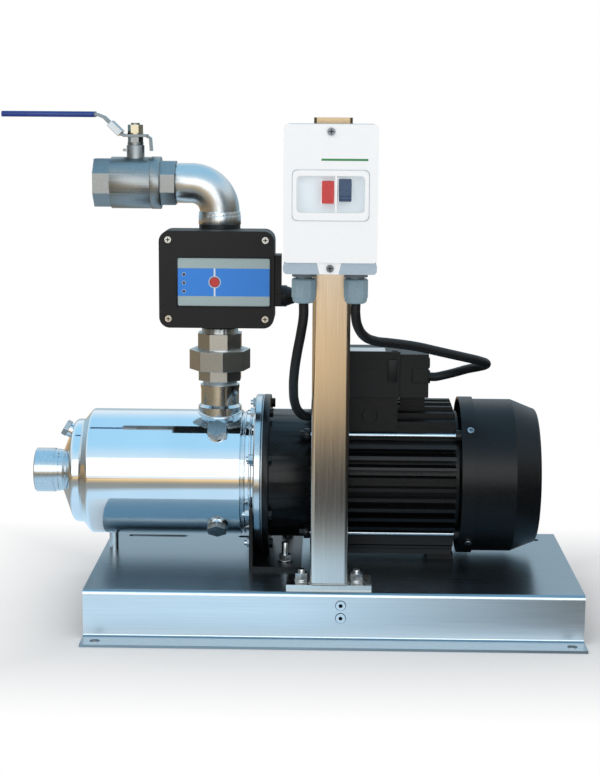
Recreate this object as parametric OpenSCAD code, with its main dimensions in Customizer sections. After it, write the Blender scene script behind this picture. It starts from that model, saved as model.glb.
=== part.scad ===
// Booster pump set: a horizontal multistage pump and its motor on a folded steel base,
// with a flow controller, an elbow and a ball valve above the pump, and a motor switch on a mast.
// Millimetres. X runs along the pump from suction to fan, -Y is the front, Z is up.
// The origin is on the floor, at the centre of the four anchor holes.

/* [Base] */
// Length of the folded base along the pump
base_len = 540; // [520:5:640]
// Depth of the base between its two upright webs
base_depth = 260; // [252:2:320]
// Height of the base top above the floor
base_h = 54; // [44:1:80]
// Thickness of the base sheet
base_sheet = 3; // [2:0.5:4]
// Outer radius of the folds
base_bend = 5; // [4.5:0.5:8]
// Width of each foot flange, measured from its web
base_flange = 30; // [26:1:45]
// Diameter of the anchor holes
anchor_d = 11; // [8:0.5:14]
// Distance of the anchor holes from the ends of the base
anchor_end = 15; // [12:1:30]
// Distance of the anchor holes from the webs
anchor_out = 17; // [14:1:19]
// Length of the adjusting slots along the rear of the base top
slot_len = 72; // [60:1:80]
// Width of the adjusting slots
slot_w = 9; // [8.6:0.2:11]

/* [Mast] */
// Outer width of the square tube
mast_w = 40; // [36:1:44]
// Wall of the square tube
mast_wall = 2; // [1.5:0.5:3]
// Height of the tube above its foot plate
mast_len = 497; // [490:1:540]
// Place of the mast along the base
mast_x = -5; // [-8:1:-2]
// Place of the middle of the mast across the base
mast_y = -100.5; // [-103:0.5:-98]
// Length of the foot plate
mast_foot_len = 92; // [88:1:110]
// Thickness of the foot plate
mast_foot_t = 6; // [5:0.5:10]
// Distance between the two foot bolts
mast_bolt_span = 60; // [58:1:68]

/* [Pump] */
// Gap between the base top and the lowest round part
base_gap = 3; // [3:0.5:12]
// Place of the shaft across the base
axis_y = 38; // [34:1:42]
// Plane where the pump meets the motor bracket
joint_x = -82; // [-86:1:-78]
// Outer radius of the polished sleeve
sleeve_r = 72.5; // [71:0.5:74]
// Wall of the sleeve
sleeve_wall = 2; // [1.5:0.5:2.5]
// Length of the sleeve, from its shoulder to the neck
sleeve_len = 173; // [170:1:190]
// Step from the sleeve down to the neck that carries the flange
neck_step = 2.5; // [2:0.5:4]
// Length of the neck
neck_len = 23; // [21:1:25]
// Step from the sleeve down to the domed suction end
dome_step = 12.5; // [10.5:0.5:14.5]
// Width of the round flanges outside their bolt circle
flange_rim = 8; // [7.5:0.5:10]
// Thickness of the steel flange
flange_t = 9; // [8:0.5:11]
// Number of bolts around the flange
flange_bolts_n = 8; // [8:1:8]
// Bore of the tapped ports, at the thread crests
port_d = 39; // [37:0.5:39.5]
// Outer diameter of the suction socket
suction_d = 51; // [49:0.5:54]
// Outer diameter of the discharge socket
discharge_d = 44; // [43.5:0.5:47]
// Distance of the discharge from the joint plane
discharge_back = 51; // [49:1:55]
// Height of the discharge socket above the sleeve
socket_rise = 31.5; // [28:0.5:38]
// Number of pump stages
stages = 5; // [4:1:5]
// Length of one stage
stage_len = 28; // [26:0.5:28]

/* [Motor] */
// Radius of the bracket barrel
barrel_r = 74; // [72:0.5:75]
// Length of the bracket from the joint plane to the motor frame
bracket_len = 55; // [53:1:58]
// Length of the finned frame
frame_len = 163; // [160:1:170]
// Step from the bracket barrel down to the frame under its fins
frame_step = 2; // [1:0.5:3]
// Reach of the cooling fins outside the frame, front and back
fin_out = 13; // [11:0.5:15]
// Half height of the frame over its top and bottom ribs
frame_half = 88; // [86:0.5:90]
// Number of cooling fins on each side
fins_n = 9; // [7:1:11]
// Thickness of a cooling fin
fin_t = 4; // [3:0.5:5]
// Distance of the tie rods outside the bracket barrel
rod_out = 6; // [5.5:0.5:7]
// Diameter of the tie rods
rod_d = 5.5; // [5:0.5:6]
// Distance from the tie rods to the outside of the fan cover
cover_room = 8; // [7.5:0.5:10]
// Length of the fan cover
fan_cover_len = 92; // [90:1:105]
// Bore of the bearings
bearing_bore = 25; // [24:0.5:26]
// Outer diameter of the bearings
bearing_d = 52; // [51:0.5:54]
// Width of the bearings
bearing_w = 15; // [14:0.5:16]

/* [Terminal box] */
// Length of the terminal box along the motor
terminal_len = 77; // [75:1:79]
// Depth of the terminal box
terminal_depth = 54; // [50:1:58]
// Height of the terminal box without its lid
terminal_h = 32; // [30:1:36]
// Height of the lid
terminal_lid_h = 20; // [18:1:24]
// Width of the cable entry box
entry_w = 32; // [30:1:34]

/* [Pipework] */
// Outer diameter of the male pipe threads
thread_d = 41.8; // [41:0.1:42]
// Bore of the pipe fittings
pipe_bore = 32; // [28:0.5:33]
// Width of the lower union octagon across flats
union_low_af = 48; // [46:0.5:52]
// Width of the union nut across flats
union_nut_af = 65; // [63:0.5:70]
// Height of the union nut
union_nut_h = 23; // [22:0.5:28]
// Radius of the elbow's bend
elbow_bend = 32; // [30:0.5:34]
// Height of the valve axis above the elbow's lower end
elbow_rise = 46; // [45:0.5:50]
// Length of the ball valve
valve_len = 92; // [90:1:98]
// Diameter of the valve body
valve_d = 58; // [56:0.5:62]
// Radius of the valve ball
ball_r = 21; // [20:0.5:22]
// Width of the lever
lever_w = 18; // [16:0.5:20]
// Thickness of the lever
lever_t = 3; // [2.5:0.5:4]
// Length of the grip on the lever
grip_len = 104; // [90:1:115]
// Thickness of the grip
grip_t = 6.5; // [6:0.5:8]

/* [Flow controller] */
// Width of the controller box
control_w = 128; // [124:1:136]
// Height of the controller box
control_h = 108; // [104:1:114]
// Depth of the controller's front cover
control_cover_d = 25; // [22:1:28]
// Radius of the box corners
control_r = 12; // [8:0.5:14]
// Diameter of the reset button
reset_d = 10.6; // [9:0.2:12]
// Travel of the reset button
reset_travel = 1.2; // [0.8:0.1:1.5]
// Lift of the flow poppet
poppet_lift = 8; // [6:0.5:10]

/* [Switch enclosure] */
// Width of the enclosure
case_w = 93; // [90:1:98]
// Height of the enclosure
case_h = 147; // [144:1:150]
// Depth of the enclosure
case_d = 85; // [84:0.5:88]
// Wall of the enclosure
case_wall = 2.5; // [2:0.5:3]
// Height of the band at the foot of the enclosure
band_h = 11.5; // [10:0.5:13]
// Travel of the stop and start buttons
button_travel = 3; // [2:0.25:3.5]
// Diameter of the cable glands
gland_d = 25; // [23:0.5:26]
// Distance between the two glands
gland_span = 53; // [50:1:55]
// Diameter of the cables
cable_d = 10; // [8:0.5:10.5]

/* [Hidden] */
$fn = 96;
// Clearances: fits, seats, running gaps and bolt holes
fit = 0.05;
seat_gap = 0.1;
run_gap = 0.3;
bolt_play = 0.5;
// Depth by which a cut overshoots a face
over = 1;

half_depth = base_depth / 2;
anchor_x = base_len / 2 - anchor_end;
anchor_y = half_depth + anchor_out;
insert_x = 8;
insert_r = 3.4;
insert_heights = [base_h - 14, base_h - 28];

// Radii of the pump and motor, and the shaft height that clears the base
neck_r = sleeve_r - neck_step;
dome_r = sleeve_r - dome_step;
nut_room = 13;
head_room = 9;
flange_circle = max(neck_r + nut_room, barrel_r + head_room);
flange_r = flange_circle + flange_rim;
shield_rim = 2;
frame_r = barrel_r - frame_step;
fin_reach = frame_r + fin_out;
rod_circle = barrel_r + rod_out;
fan_cover_r = rod_circle + cover_room;
cover_step = 2.5;
cover_taper = 31;
cover_ring_r = fan_cover_r + cover_step;
shaft_h = max(flange_r, frame_half, cover_ring_r) + base_gap;
axis_z = base_h + shaft_h;

// Metric bolts, nuts and washers
bolt_d = 8;
bolt_af = 13;
nut_h = 6.5;
head_h = 5.3;
washer_d = 16;
washer_t = 1.6;
bolt_tail = 4;

// Pump, from the suction end to the joint plane
neck_x = joint_x - neck_len;
sleeve_x = neck_x - sleeve_len;
shoulder_len = 12;
dome_step_x = sleeve_x - shoulder_len - 6;
dome_corner = 6;
dome_depth = 18;
dome_x = dome_step_x - dome_depth;
suction_len = 22.5;
suction_neck_r = 24;
suction_x = dome_x - 33.5;
flange_x = joint_x - flange_t;
bolt_angle_0 = 22.5;
flange_bolt_d = 6;
flange_bolt_af = 10;
flange_nut_h = 5;
flange_head_h = 4;
back_plate_t = 1;
bracket_x = joint_x + back_plate_t;
foot_sheet = 4;
foot_x = flange_x - foot_sheet;
foot_len = 58;
foot_w = 2 * (flange_circle + 2);
foot_bolt_x = foot_x + 40;
foot_edge = 26;
foot_bolt_half = foot_w / 2 - foot_edge;
foot_bolt_tail = 14;
slot_y = axis_y + foot_bolt_half;
slot_end = 58;
slot_inner = 79;
slot_places = [for (side = [-1, 1], at = [base_len / 2 - slot_end, slot_inner]) side * at];
post_x = sleeve_x + 20;
post_r = 5.5;
discharge_x = joint_x - discharge_back;
port_r = port_d / 2;
thread_r = thread_d / 2;
discharge_rise = sleeve_r + socket_rise;
socket_top = axis_z + discharge_rise;
plug_boss_r = 12.5;
plug_boss_top = sleeve_r + 2.5;
plug_af = 21;
plug_head = 6;
plug_shank_r = 6;
fill_angle = 130;
drain_angle = 225;
vent_af = 17;
vent_tilt = 30;
vent_boss_r = 8.5;
vent_r = dome_r - 13;
vent_x = dome_x + 8;

// Pump internals
shaft_r = 9;
stack_play = 4;
stack_r = neck_r - sleeve_wall - stack_play;
stack_wall = 3;
stack_x = neck_x - 17 - stages * stage_len;
stack_end = stack_x + stages * stage_len;
spigot_len = 6;
spigot_x = joint_x - spigot_len;
impeller_play = 7;
impeller_r = stack_r - stack_wall - impeller_play;
impeller_eye_r = 24;
hub_r = 11.5;
shroud_t = 1.5;
vane_h = 6;
vanes_n = 6;
seal_r = 20;
o_ring_d = 3;

// Motor, from the bracket to the fan cover
frame_x = joint_x + bracket_len;
frame_end = frame_x + frame_len;
bracket_flange_t = 7;
barrel_wall = 7;
ear_r = 7;
ear_len = 7;
rod_head_h = 5;
shield_t = 7;
frame_wall = 8;
stator_depth = 19;
stator_r = frame_r - frame_wall;
stator_bore_r = stator_r - stator_depth;
air_gap = 0.5;
core_x = frame_x + 32;
core_len = 90;
winding_len = 22;
core_shaft_r = 14;
bearing_r = bearing_d / 2;
bearing_bore_r = bearing_bore / 2;
bearing_mid_r = (bearing_r + bearing_bore_r) / 2;
ball_d = 7.8;
race_gap = 2.2;
drive_bearing_x = frame_x - bearing_w - 4;
fan_bearing_x = frame_end - 9;
shaft_end = frame_end + 56;
fan_x = frame_end + 20;
fan_len = 30;
fan_r = fan_cover_r - 14;
blades_n = 7;
cover_x = frame_end + shield_t - 1;
cover_wall = 2.5;
cover_ring = 16;
cover_cone_r = fan_cover_r - 10;
rear_ear_len = cover_x + cover_ring - cover_wall - bolt_play - frame_end;
pad_x = frame_end - 28;
pad_len = 30;
pad_w = 60;
frame_bottom = axis_z - frame_half;

// Terminal box on its pedestal
terminal_start = 22;
terminal_shift = 33;
terminal_rise = 12;
terminal_x = frame_x + terminal_start;
terminal_y = axis_y - terminal_shift;
terminal_z = axis_z + frame_half + terminal_rise;
terminal_lid_z = terminal_z + terminal_h;
terminal_top = terminal_lid_z + terminal_lid_h;
box_wall = 3;
entry_x = terminal_x + terminal_len + seat_gap;
entry_z = terminal_z;
entry_h = 49;
entry_depth = 46;
entry_front = terminal_y - terminal_depth / 2 + 2;
entry_cable_z = terminal_z + 20;
collar_t = 3;

// Pipework, going up from the discharge socket
thread_len = 16;
union_low_z = socket_top + 5;
union_nut_z = union_low_z + 13;
union_high_z = union_nut_z + union_nut_h;
union_high_h = 19;
union_high_af = 49;
union_top = union_high_z + union_high_h;
union_lip = 5;
union_collar_r = 26;
gasket_t = 2;
control_z = union_top + 12;
control_top = control_z + control_h;
elbow_z = control_top + 4;
valve_z = elbow_z + elbow_rise;
elbow_r = 22.5;
elbow_collar_r = 24;
elbow_collar_h = 10;
valve_right = discharge_x - elbow_bend - 17;
valve_left = valve_right - valve_len;
valve_end_len = 17;
valve_ring_x = valve_right - valve_end_len - 11;
valve_left_len = 20;
valve_left_af = 53.6;
valve_right_af = 49;
valve_x = valve_left + 46;
valve_bore_r = 14;
valve_spigot = 8;
valve_spigot_r = ball_r + 5;
seat_t = 6;
stem_r = 5;
stem_neck_r = 10;
stem_neck_z = valve_z + 42;
tang_w = 6;
tang_h = 5;
packing_h = 6;
lever_z = stem_neck_z + packing_h + 2 * washer_t;
stem_nut_af = 15;
stem_nut_h = 9;
lever_rise = 76;
lever_run = 38;
lever_flat = 13;
lever_reach = 110;
lever_bend_z = valve_z + lever_rise;
lever_bend_x = valve_x - lever_run;
lever_foot_x = valve_x - lever_flat;
lever_tip_x = lever_bend_x - lever_reach;
grip_w = lever_w + 6;
lock_len = 17;
lock_wall = 2;
lock_rest = 4;
slope_low = [lever_foot_x - 2, lever_z + lever_t / 2 + 1];
slope_high = [lever_bend_x + 3, lever_bend_z - 3];
lock_slope = atan2(slope_high[1] - slope_low[1], slope_low[0] - slope_high[0]);

// Flow controller
control_y = axis_y - 30;
control_front = control_y - control_cover_d;
control_back = 20;
control_wall = 3;
flow_r = 30;
flow_bore_r = 18;
flow_neck_r = 23;
panel_w = 102;
panel_h = 53;
panel_t = 1;
panel_x = discharge_x + 8;
panel_z = control_z + 51.5;
reset_x = discharge_x - 2;
reset_len = 14;
seat_z = control_z + 20;
seat_r = 14;
ledge_t = 6;
poppet_r = 16;
poppet_t = 4;
poppet_stem_r = 3;
poppet_z = seat_z + ledge_t / 2 + seat_gap;
guide_t = 4;
spring_r = 8;
spring_wire = 1.4;
spring_turns = 6;
guide_z = poppet_z + poppet_t + spring_turns * spring_wire + poppet_lift + 20;
link_w = 7.5;
link_h = 57;
link_d = 26;
link_x = discharge_x + control_w / 2 + seat_gap;
link_y = 0;
link_gland_len = 15;
link_gland_z = control_z + 35;

// Switch enclosure on the mast
mast_z = base_h + mast_foot_t;
mast_top = mast_z + mast_len;
mast_corner = 4;
mast_front = mast_y - mast_w / 2;
mast_foot_depth = 42;
mast_cap_t = 2;
case_x = mast_x - 2;
case_top = mast_top - 6;
case_z = case_top - case_h;
case_front = mast_front - case_d;
case_split = mast_front - 52;
case_corner = 4;
band_front = case_front + 2;
window_w = 67;
window_h = 36;
window_z = case_z + 79;
window_t = 2;
rim_w = 75;
rim_h = 49;
rim_z = case_z + 78;
rim_proud = 1.2;
module_w = 45;
module_h = 89;
module_front = case_front + 14;
stop_x = case_x - 2.7;
start_x = case_x + 14.2;
stop_w = 12;
start_w = 12.6;
button_h = 22;
stop_z = case_z + 81;
start_z = case_z + 83;
button_root = 3;
gland_y = mast_front - 43.5;
gland_drop = 33;

// Screws of the covers
screw_r = 2;
screw_head_r = 3.8;
screw_head_h = 2;
screw_len = 12;

// Routes of the two cables: points chosen along their centre lines
control_route = [
  [-33.5, -164, 371], [-33.5, -164, 358], [-36, -163, 340], [-40, -158, 318], [-43, -148, 296],
  [-44, -134, 276], [-43, -117, 259], [-39, -99, 246], [-32, -82, 238], [-23, -67, 237],
  [-14, -55, 243], [-7, -47, 256], [-3, -41, 273], [-1, -36, 292], [-1, -30, 311],
  [-4, -21, 329], [-11, -11, 344], [-21, -4, 354], [-32, 0, 359], [-40, 0, 359], [-46.4, 0, 359]
];
motor_route = [
  [19.5, -164, 371], [19.5, -164, 360], [22, -161, 347], [29, -155, 336], [40, -147, 330],
  [54, -138, 327], [70, -129, 324], [88, -120, 320], [106, -112, 315], [124, -104, 310],
  [141, -94, 305], [155, -81, 300], [163, -64, 295], [164, -46, 290], [158, -28, 285],
  [147, -13, 280], [134, -1, 274], [122, 4, 270], [113, 5, 268], [107.1, 5, 268]
];
cable_sides = 10;

// Shared shapes

// Points of an arc in a plane, for outlines
function arc_points(centre, r, from, to, steps) =
  [for (i = [0:steps]) let (a = from + (to - from) * i / steps) centre + r * [cos(a), sin(a)]];

// Rectangle with round corners, centred
module rounded_rect(w, h, r) {
  square([w - 2 * r, h], center = true);
  square([w, h - 2 * r], center = true);
  for (x = [-1, 1], y = [-1, 1])
    translate([x * (w / 2 - r), y * (h / 2 - r)])
      circle(r);
}

// Block with round edges along Y, from the front plane back
module rounded_block(x, z, w, h, r, front, back) {
  to_front(x, back, z)
    linear_extrude(back - front)
      rounded_rect(w, h, r);
}

// Children drawn along Z are laid along the shaft
module on_shaft() {
  translate([0, axis_y, axis_z])
    rotate([0, 90, 0])
      children();
}

// Round column along Z from one height
module column(r, z, h) {
  translate([0, 0, z])
    cylinder(r = r, h = h);
}

// Turned part on the shaft line, from [radius, x] points
module turned(points) {
  on_shaft()
    rotate_extrude()
      polygon(points);
}

// Ring of rectangular section on the shaft line
module ring(inner, outer, from, to) {
  turned([[inner, from], [outer, from], [outer, to], [inner, to]]);
}

// Plain round bar on the shaft line
module shaft_bar(r, from, to) {
  on_shaft()
    column(r, from, to - from);
}

// Children drawn along Z stand outwards from the shaft line at one angle
module radial(x, angle) {
  translate([x, axis_y, axis_z])
    rotate([angle - 90, 0, 0])
      children();
}

// Children along Z, laid along X at a radius and an angle about the shaft
module beside_shaft(r, angle) {
  translate([0, axis_y + r * cos(angle), axis_z + r * sin(angle)])
    rotate([0, 90, 0])
      children();
}

// Children drawn about Z stand on the riser above the discharge
module on_riser() {
  translate([discharge_x, axis_y, 0])
    children();
}

// Children drawn along Z are laid along the valve
module on_valve() {
  translate([0, axis_y, valve_z])
    rotate([0, 90, 0])
      children();
}

// Children drawn along Z point to the front from one place
module to_front(x, y, z) {
  translate([x, y, z])
    rotate([90, 0, 0])
      children();
}

// Prism with an even number of flats, from one height
module flats(af, sides, z, h) {
  translate([0, 0, z])
    rotate(180 / sides)
      cylinder(d = af / cos(180 / sides), h = h, $fn = sides);
}

// Nut or washer: a prism or disc with a bore around a bolt
module nut(af, z, h, bolt) {
  difference() {
    flats(af, 6, z, h);
    column(bolt / 2 + fit, z - over, h + 2 * over);
  }
}

module washer(d, z, t, bolt) {
  difference() {
    column(d / 2, z, t);
    column(bolt / 2 + fit, z - over, t + 2 * over);
  }
}

// Clearance hole for a bolt, through a sheet above one height
module bolt_hole(z, t, d = bolt_d) {
  column(d / 2 + bolt_play, z - over, t + 2 * over);
}

// Pan-head screw along Z, its head above the origin
module pan_screw(head_r, head_t, r, len) {
  difference() {
    union() {
      cylinder(r = head_r, h = head_t);
      column(r, -len, len);
    }
    for (turn = [0, 90])
      rotate(turn)
        translate([-head_r * 0.6, -0.4, head_t - 0.9])
          cube([head_r * 1.2, 0.8, 2]);
  }
}

// Hexagon plug along Z, its head above the origin
module hex_plug(af, head, r, len) {
  flats(af, 6, 0, head);
  column(r, -len, len);
}

// Base

function bolt_places() = concat(
  [for (side = [-1, 1]) [mast_x + side * mast_bolt_span / 2, mast_y, mast_foot_t, bolt_tail]],
  [for (side = [-1, 1]) [foot_bolt_x, axis_y + side * foot_bolt_half, foot_sheet, foot_bolt_tail]]);

module fold(turn) {
  rotate(turn)
    intersection() {
      difference() {
        circle(base_bend);
        circle(base_bend - base_sheet);
      }
      square(base_bend);
    }
}

module base_section() {
  top_half = half_depth - base_bend;
  foot_y = half_depth + base_bend - base_sheet;
  translate([-top_half, base_h - base_sheet])
    square([2 * top_half, base_sheet]);
  for (side = [0, 1])
    mirror([side, 0]) {
      translate([top_half, base_h - base_bend])
        fold(0);
      translate([half_depth - base_sheet, base_bend])
        square([base_sheet, base_h - 2 * base_bend]);
      translate([foot_y, base_bend])
        fold(180);
      translate([foot_y, 0])
        square([half_depth + base_flange - foot_y, base_sheet]);
    }
}

module slot_cut(x, y) {
  run = slot_len / 2 - slot_w / 2;
  translate([x, y, base_h - base_sheet - over])
    linear_extrude(base_sheet + 2 * over) {
      square([2 * run, slot_w], center = true);
      for (side = [-1, 1])
        translate([side * run, 0])
          circle(d = slot_w);
    }
}

module base_plate() {
  color("#b4bac0")
    difference() {
      translate([-base_len / 2, 0, 0])
        rotate([90, 0, 90])
          linear_extrude(base_len)
            base_section();
      for (x = [-anchor_x, anchor_x], y = [-anchor_y, anchor_y])
        translate([x, y, -over])
          cylinder(d = anchor_d, h = base_sheet + 2 * over);
      for (x = slot_places)
        slot_cut(x, slot_y);
      for (place = bolt_places())
        if (place[1] < slot_y - slot_w)
          translate([place[0], place[1], 0])
            bolt_hole(base_h - base_sheet, base_sheet);
      translate([post_x, axis_y, 0])
        bolt_hole(base_h - base_sheet, base_sheet);
      for (z = insert_heights)
        to_front(insert_x, -half_depth, z)
          column(insert_r + fit, -base_sheet - over, base_sheet + 2 * over);
    }
}

module through_bolt(stack, tail) {
  shank = base_sheet + stack + washer_t + nut_h + tail;
  flats(bolt_af, 6, -base_sheet - head_h, head_h);
  column(bolt_d / 2, -base_sheet, shank);
  washer(washer_d, stack, washer_t, bolt_d);
  nut(bolt_af, stack + washer_t, nut_h, bolt_d);
}

module rivet_nut() {
  difference() {
    union() {
      cylinder(r = insert_r + 1.8, h = 1.4);
      column(insert_r, -11, 11);
    }
    column(insert_r - 1.3, -12, 14);
  }
}

module base_fasteners() {
  color("#c9cdd1") {
    for (place = bolt_places())
      translate([place[0], place[1], base_h])
        through_bolt(place[2], place[3]);
    translate([post_x, axis_y, 0])
      nut(bolt_af, base_h - base_sheet - nut_h, nut_h, bolt_d);
    for (z = insert_heights)
      to_front(insert_x, -half_depth, z)
        rivet_nut();
  }
}

// Stud under the sleeve and pad under the motor
module base_supports() {
  color("#8f959b") {
    difference() {
      translate([post_x, axis_y, base_h])
        cylinder(r = post_r, h = shaft_h - sleeve_r + post_r);
      shaft_bar(sleeve_r + seat_gap, post_x - 2 * post_r, post_x + 2 * post_r);
    }
    translate([post_x, axis_y, base_h - base_sheet - nut_h - bolt_tail])
      cylinder(d = bolt_d, h = base_sheet + nut_h + bolt_tail);
  }
  color("#1d1d1f")
    translate([pad_x, axis_y - pad_w / 2, base_h])
      cube([pad_len, pad_w, frame_bottom - base_h - seat_gap]);
}

module pump_foot() {
  color("#1b1b1d")
    difference() {
      union() {
        translate([foot_x, axis_y - foot_w / 2, base_h])
          cube([foot_len, foot_w, foot_sheet]);
        translate([foot_x, axis_y - foot_w / 2, base_h])
          cube([foot_sheet, foot_w, shaft_h - 25]);
      }
      shaft_bar(sleeve_r + bolt_play, foot_x - over, foot_x + foot_sheet + over);
      shaft_bar(flange_r + bolt_play, flange_x, bracket_x + bracket_flange_t + bolt_play);
      for (side = [-1, 1])
        translate([foot_bolt_x, axis_y + side * foot_bolt_half, 0])
          bolt_hole(base_h, foot_sheet);
      bolt_circle()
        bolt_hole(foot_x, foot_sheet, flange_bolt_d);
    }
}

// Mast with its foot plate and cap, welded into one piece
module mast() {
  color("#c2b9ac")
    difference() {
      union() {
        translate([mast_x - mast_foot_len / 2, mast_y - mast_foot_depth / 2, base_h])
          cube([mast_foot_len, mast_foot_depth, mast_foot_t]);
        translate([mast_x, mast_y, mast_z])
          linear_extrude(mast_len)
            rounded_rect(mast_w, mast_w, mast_corner);
      }
      translate([mast_x, mast_y, mast_z])
        linear_extrude(mast_len - mast_cap_t)
          rounded_rect(mast_w - 2 * mast_wall, mast_w - 2 * mast_wall, mast_corner - mast_wall);
      for (side = [-1, 1])
        translate([mast_x + side * mast_bolt_span / 2, mast_y, 0])
          bolt_hole(base_h, mast_foot_t);
    }
}

// Pump

// Outline of the can, or of its hollow when drawn in by the wall
function can_outline(inset) = concat(
  [[0, dome_x + inset], [suction_neck_r + 2, dome_x + inset]],
  arc_points([dome_r - dome_corner - inset, dome_step_x + inset], dome_corner, -70, 0, 5),
  [[dome_r - inset, dome_step_x + 6 + inset]],
  arc_points([sleeve_r - 4 - inset, sleeve_x + inset], 4, -50, 0, 4),
  [[sleeve_r - inset, neck_x - 2 - inset], [neck_r - inset, neck_x - inset]],
  [[neck_r - inset, joint_x + (inset > 0 ? over : 0)], [0, joint_x + (inset > 0 ? over : 0)]]);

module at_vent() {
  translate([vent_x, axis_y, axis_z + vent_r])
    rotate([0, vent_tilt - 90, 0])
      children();
}

module pump_casing() {
  color("#cfd6dc")
    difference() {
      union() {
        turned(can_outline(0));
        for (angle = [fill_angle, drain_angle])
          radial(discharge_x, angle)
            cylinder(r = plug_boss_r, h = plug_boss_top);
        at_vent()
          column(vent_boss_r, -8, 11);
      }
      turned(can_outline(sleeve_wall));
      shaft_bar(suction_neck_r + fit, dome_x - over, dome_x + 10);
      for (angle = [fill_angle, drain_angle])
        radial(discharge_x, angle)
          cylinder(r = plug_shank_r + fit, h = plug_boss_top + over);
      at_vent()
        column(plug_shank_r - 1 + fit, -20, 40);
      translate([discharge_x, axis_y, axis_z])
        cylinder(r = flow_bore_r, h = sleeve_r + over);
    }
}

module casing_sockets() {
  color("#c3c9ce") {
    difference() {
      turned([[0, suction_x], [suction_d / 2 - 1, suction_x], [suction_d / 2, suction_x + 1],
        [suction_d / 2, suction_x + suction_len], [suction_d / 2 - 1, suction_x + suction_len],
        [suction_d / 2 - 1, suction_x + suction_len + 5], [suction_neck_r, suction_x + suction_len + 6],
        [suction_neck_r, dome_x + 8], [0, dome_x + 8]]);
      shaft_bar(port_r, suction_x - over, suction_x + suction_len);
      shaft_bar(port_r - 2, suction_x, dome_x + 9);
    }
    difference() {
      on_riser()
        union() {
          column(discharge_d / 2, axis_z + sleeve_r - 10, discharge_rise - sleeve_r + 10);
          column((discharge_d + 6) / 2, axis_z + sleeve_r - 10, 16);
          translate([0, 0, axis_z + sleeve_r + 6])
            cylinder(d1 = discharge_d + 6, d2 = discharge_d, h = 3);
          column((discharge_d + 1) / 2, socket_top - 4, 4);
        }
      shaft_bar(sleeve_r + fit, discharge_x - 2 * discharge_d, discharge_x + discharge_d);
      on_riser()
        column(flow_bore_r, axis_z, discharge_rise + over);
      on_riser()
        column(port_r, socket_top - thread_len - over, thread_len + 2 * over);
    }
  }
}

module casing_plugs() {
  color("#b7bcc1") {
    for (angle = [fill_angle, drain_angle])
      radial(discharge_x, angle)
        translate([0, 0, plug_boss_top])
          hex_plug(plug_af, plug_head, plug_shank_r, 7);
    at_vent()
      translate([0, 0, 3])
        hex_plug(vent_af, plug_head, plug_shank_r - 1, 7);
  }
}

module bolt_circle() {
  for (k = [1:flange_bolts_n])
    beside_shaft(flange_circle, bolt_angle_0 + 360 * k / flange_bolts_n)
      children();
}

module casing_flange() {
  color("#c8ced3")
    difference() {
      turned([[neck_r + fit, flange_x], [flange_r - 1.5, flange_x], [flange_r, flange_x + 1.5],
        [flange_r, joint_x - 1.5], [flange_r - 1.5, joint_x], [neck_r + fit, joint_x]]);
      bolt_circle()
        bolt_hole(flange_x, flange_t, flange_bolt_d);
    }
}

// Steel plate that closes the pump and holds the seal's fixed half
module seal_plate() {
  groove_r = neck_r - sleeve_wall - o_ring_d;
  color("#a9afb4")
    difference() {
      turned([[shaft_r + 5, spigot_x], [neck_r - sleeve_wall - seat_gap, spigot_x],
        [neck_r - sleeve_wall - seat_gap, joint_x], [flange_r, joint_x],
        [flange_r, bracket_x], [shaft_r + 5, bracket_x]]);
      ring(shaft_r, seal_r, spigot_x - over, spigot_x + 5);
      ring(groove_r, flange_r, spigot_x + 1.4, spigot_x + 1.6 + o_ring_d);
      bolt_circle()
        bolt_hole(joint_x, back_plate_t, flange_bolt_d);
    }
}

// Fixed seals: the casing's O-ring, the shaft seal's seat and the union's gasket
module seal_rings() {
  color("#222222")
    on_shaft()
      translate([0, 0, spigot_x + 1.5 + o_ring_d / 2])
        rotate_extrude()
          translate([neck_r - sleeve_wall - o_ring_d / 2, 0])
            circle(d = o_ring_d - 2 * fit);
  color("#e8e4da")
    ring(shaft_r + 1.5, seal_r - fit, spigot_x + fit, spigot_x + 5);
  color("#3b3b3b")
    on_riser()
      translate([0, 0, union_nut_z + union_lip + 6])
        difference() {
          cylinder(r = union_collar_r, h = gasket_t);
          column(pipe_bore / 2, -over, gasket_t + 2 * over);
        }
}

module flange_bolts() {
  head_x = bracket_x + bracket_flange_t;
  tail = flange_nut_h + 3;
  color("#c9cdd1")
    for (k = [1:flange_bolts_n]) {
      angle = bolt_angle_0 + 360 * k / flange_bolts_n;
      low = sin(angle) * flange_circle < -25 - flange_bolt_d;
      nut_face = low ? foot_x : flange_x;
      beside_shaft(flange_circle, angle) {
        flats(flange_bolt_af, 6, head_x, flange_head_h);
        column(flange_bolt_d / 2, nut_face - tail, head_x - nut_face + tail);
        nut(flange_bolt_af, nut_face - flange_nut_h, flange_nut_h, flange_bolt_d);
      }
    }
}

// Stack of diffuser bowls, held behind the seal plate
module stage_diffusers() {
  front_x = sleeve_x - 1;
  color("#d8d4c6")
    for (i = [0:stages - 1]) {
      from = i == 0 ? front_x : stack_x + i * stage_len;
      to = i == stages - 1 ? spigot_x - seat_gap : stack_x + (i + 1) * stage_len - fit;
      wall_x = stack_x + (i + 1) * stage_len - 2;
      difference() {
        union() {
          ring(stack_r - stack_wall, stack_r, from, to);
          ring(hub_r + run_gap, stack_r - 1, wall_x, wall_x + 2 - fit);
        }
        if (i == stages - 1)
          for (turn = [0:60:120])
            translate([stack_end + 4, axis_y, axis_z])
              rotate([turn, 0, 0])
                translate([0, -stack_r - over, -12])
                  cube([spigot_x - stack_end - 8, 2 * stack_r + 2 * over, 24]);
      }
    }
}

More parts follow.
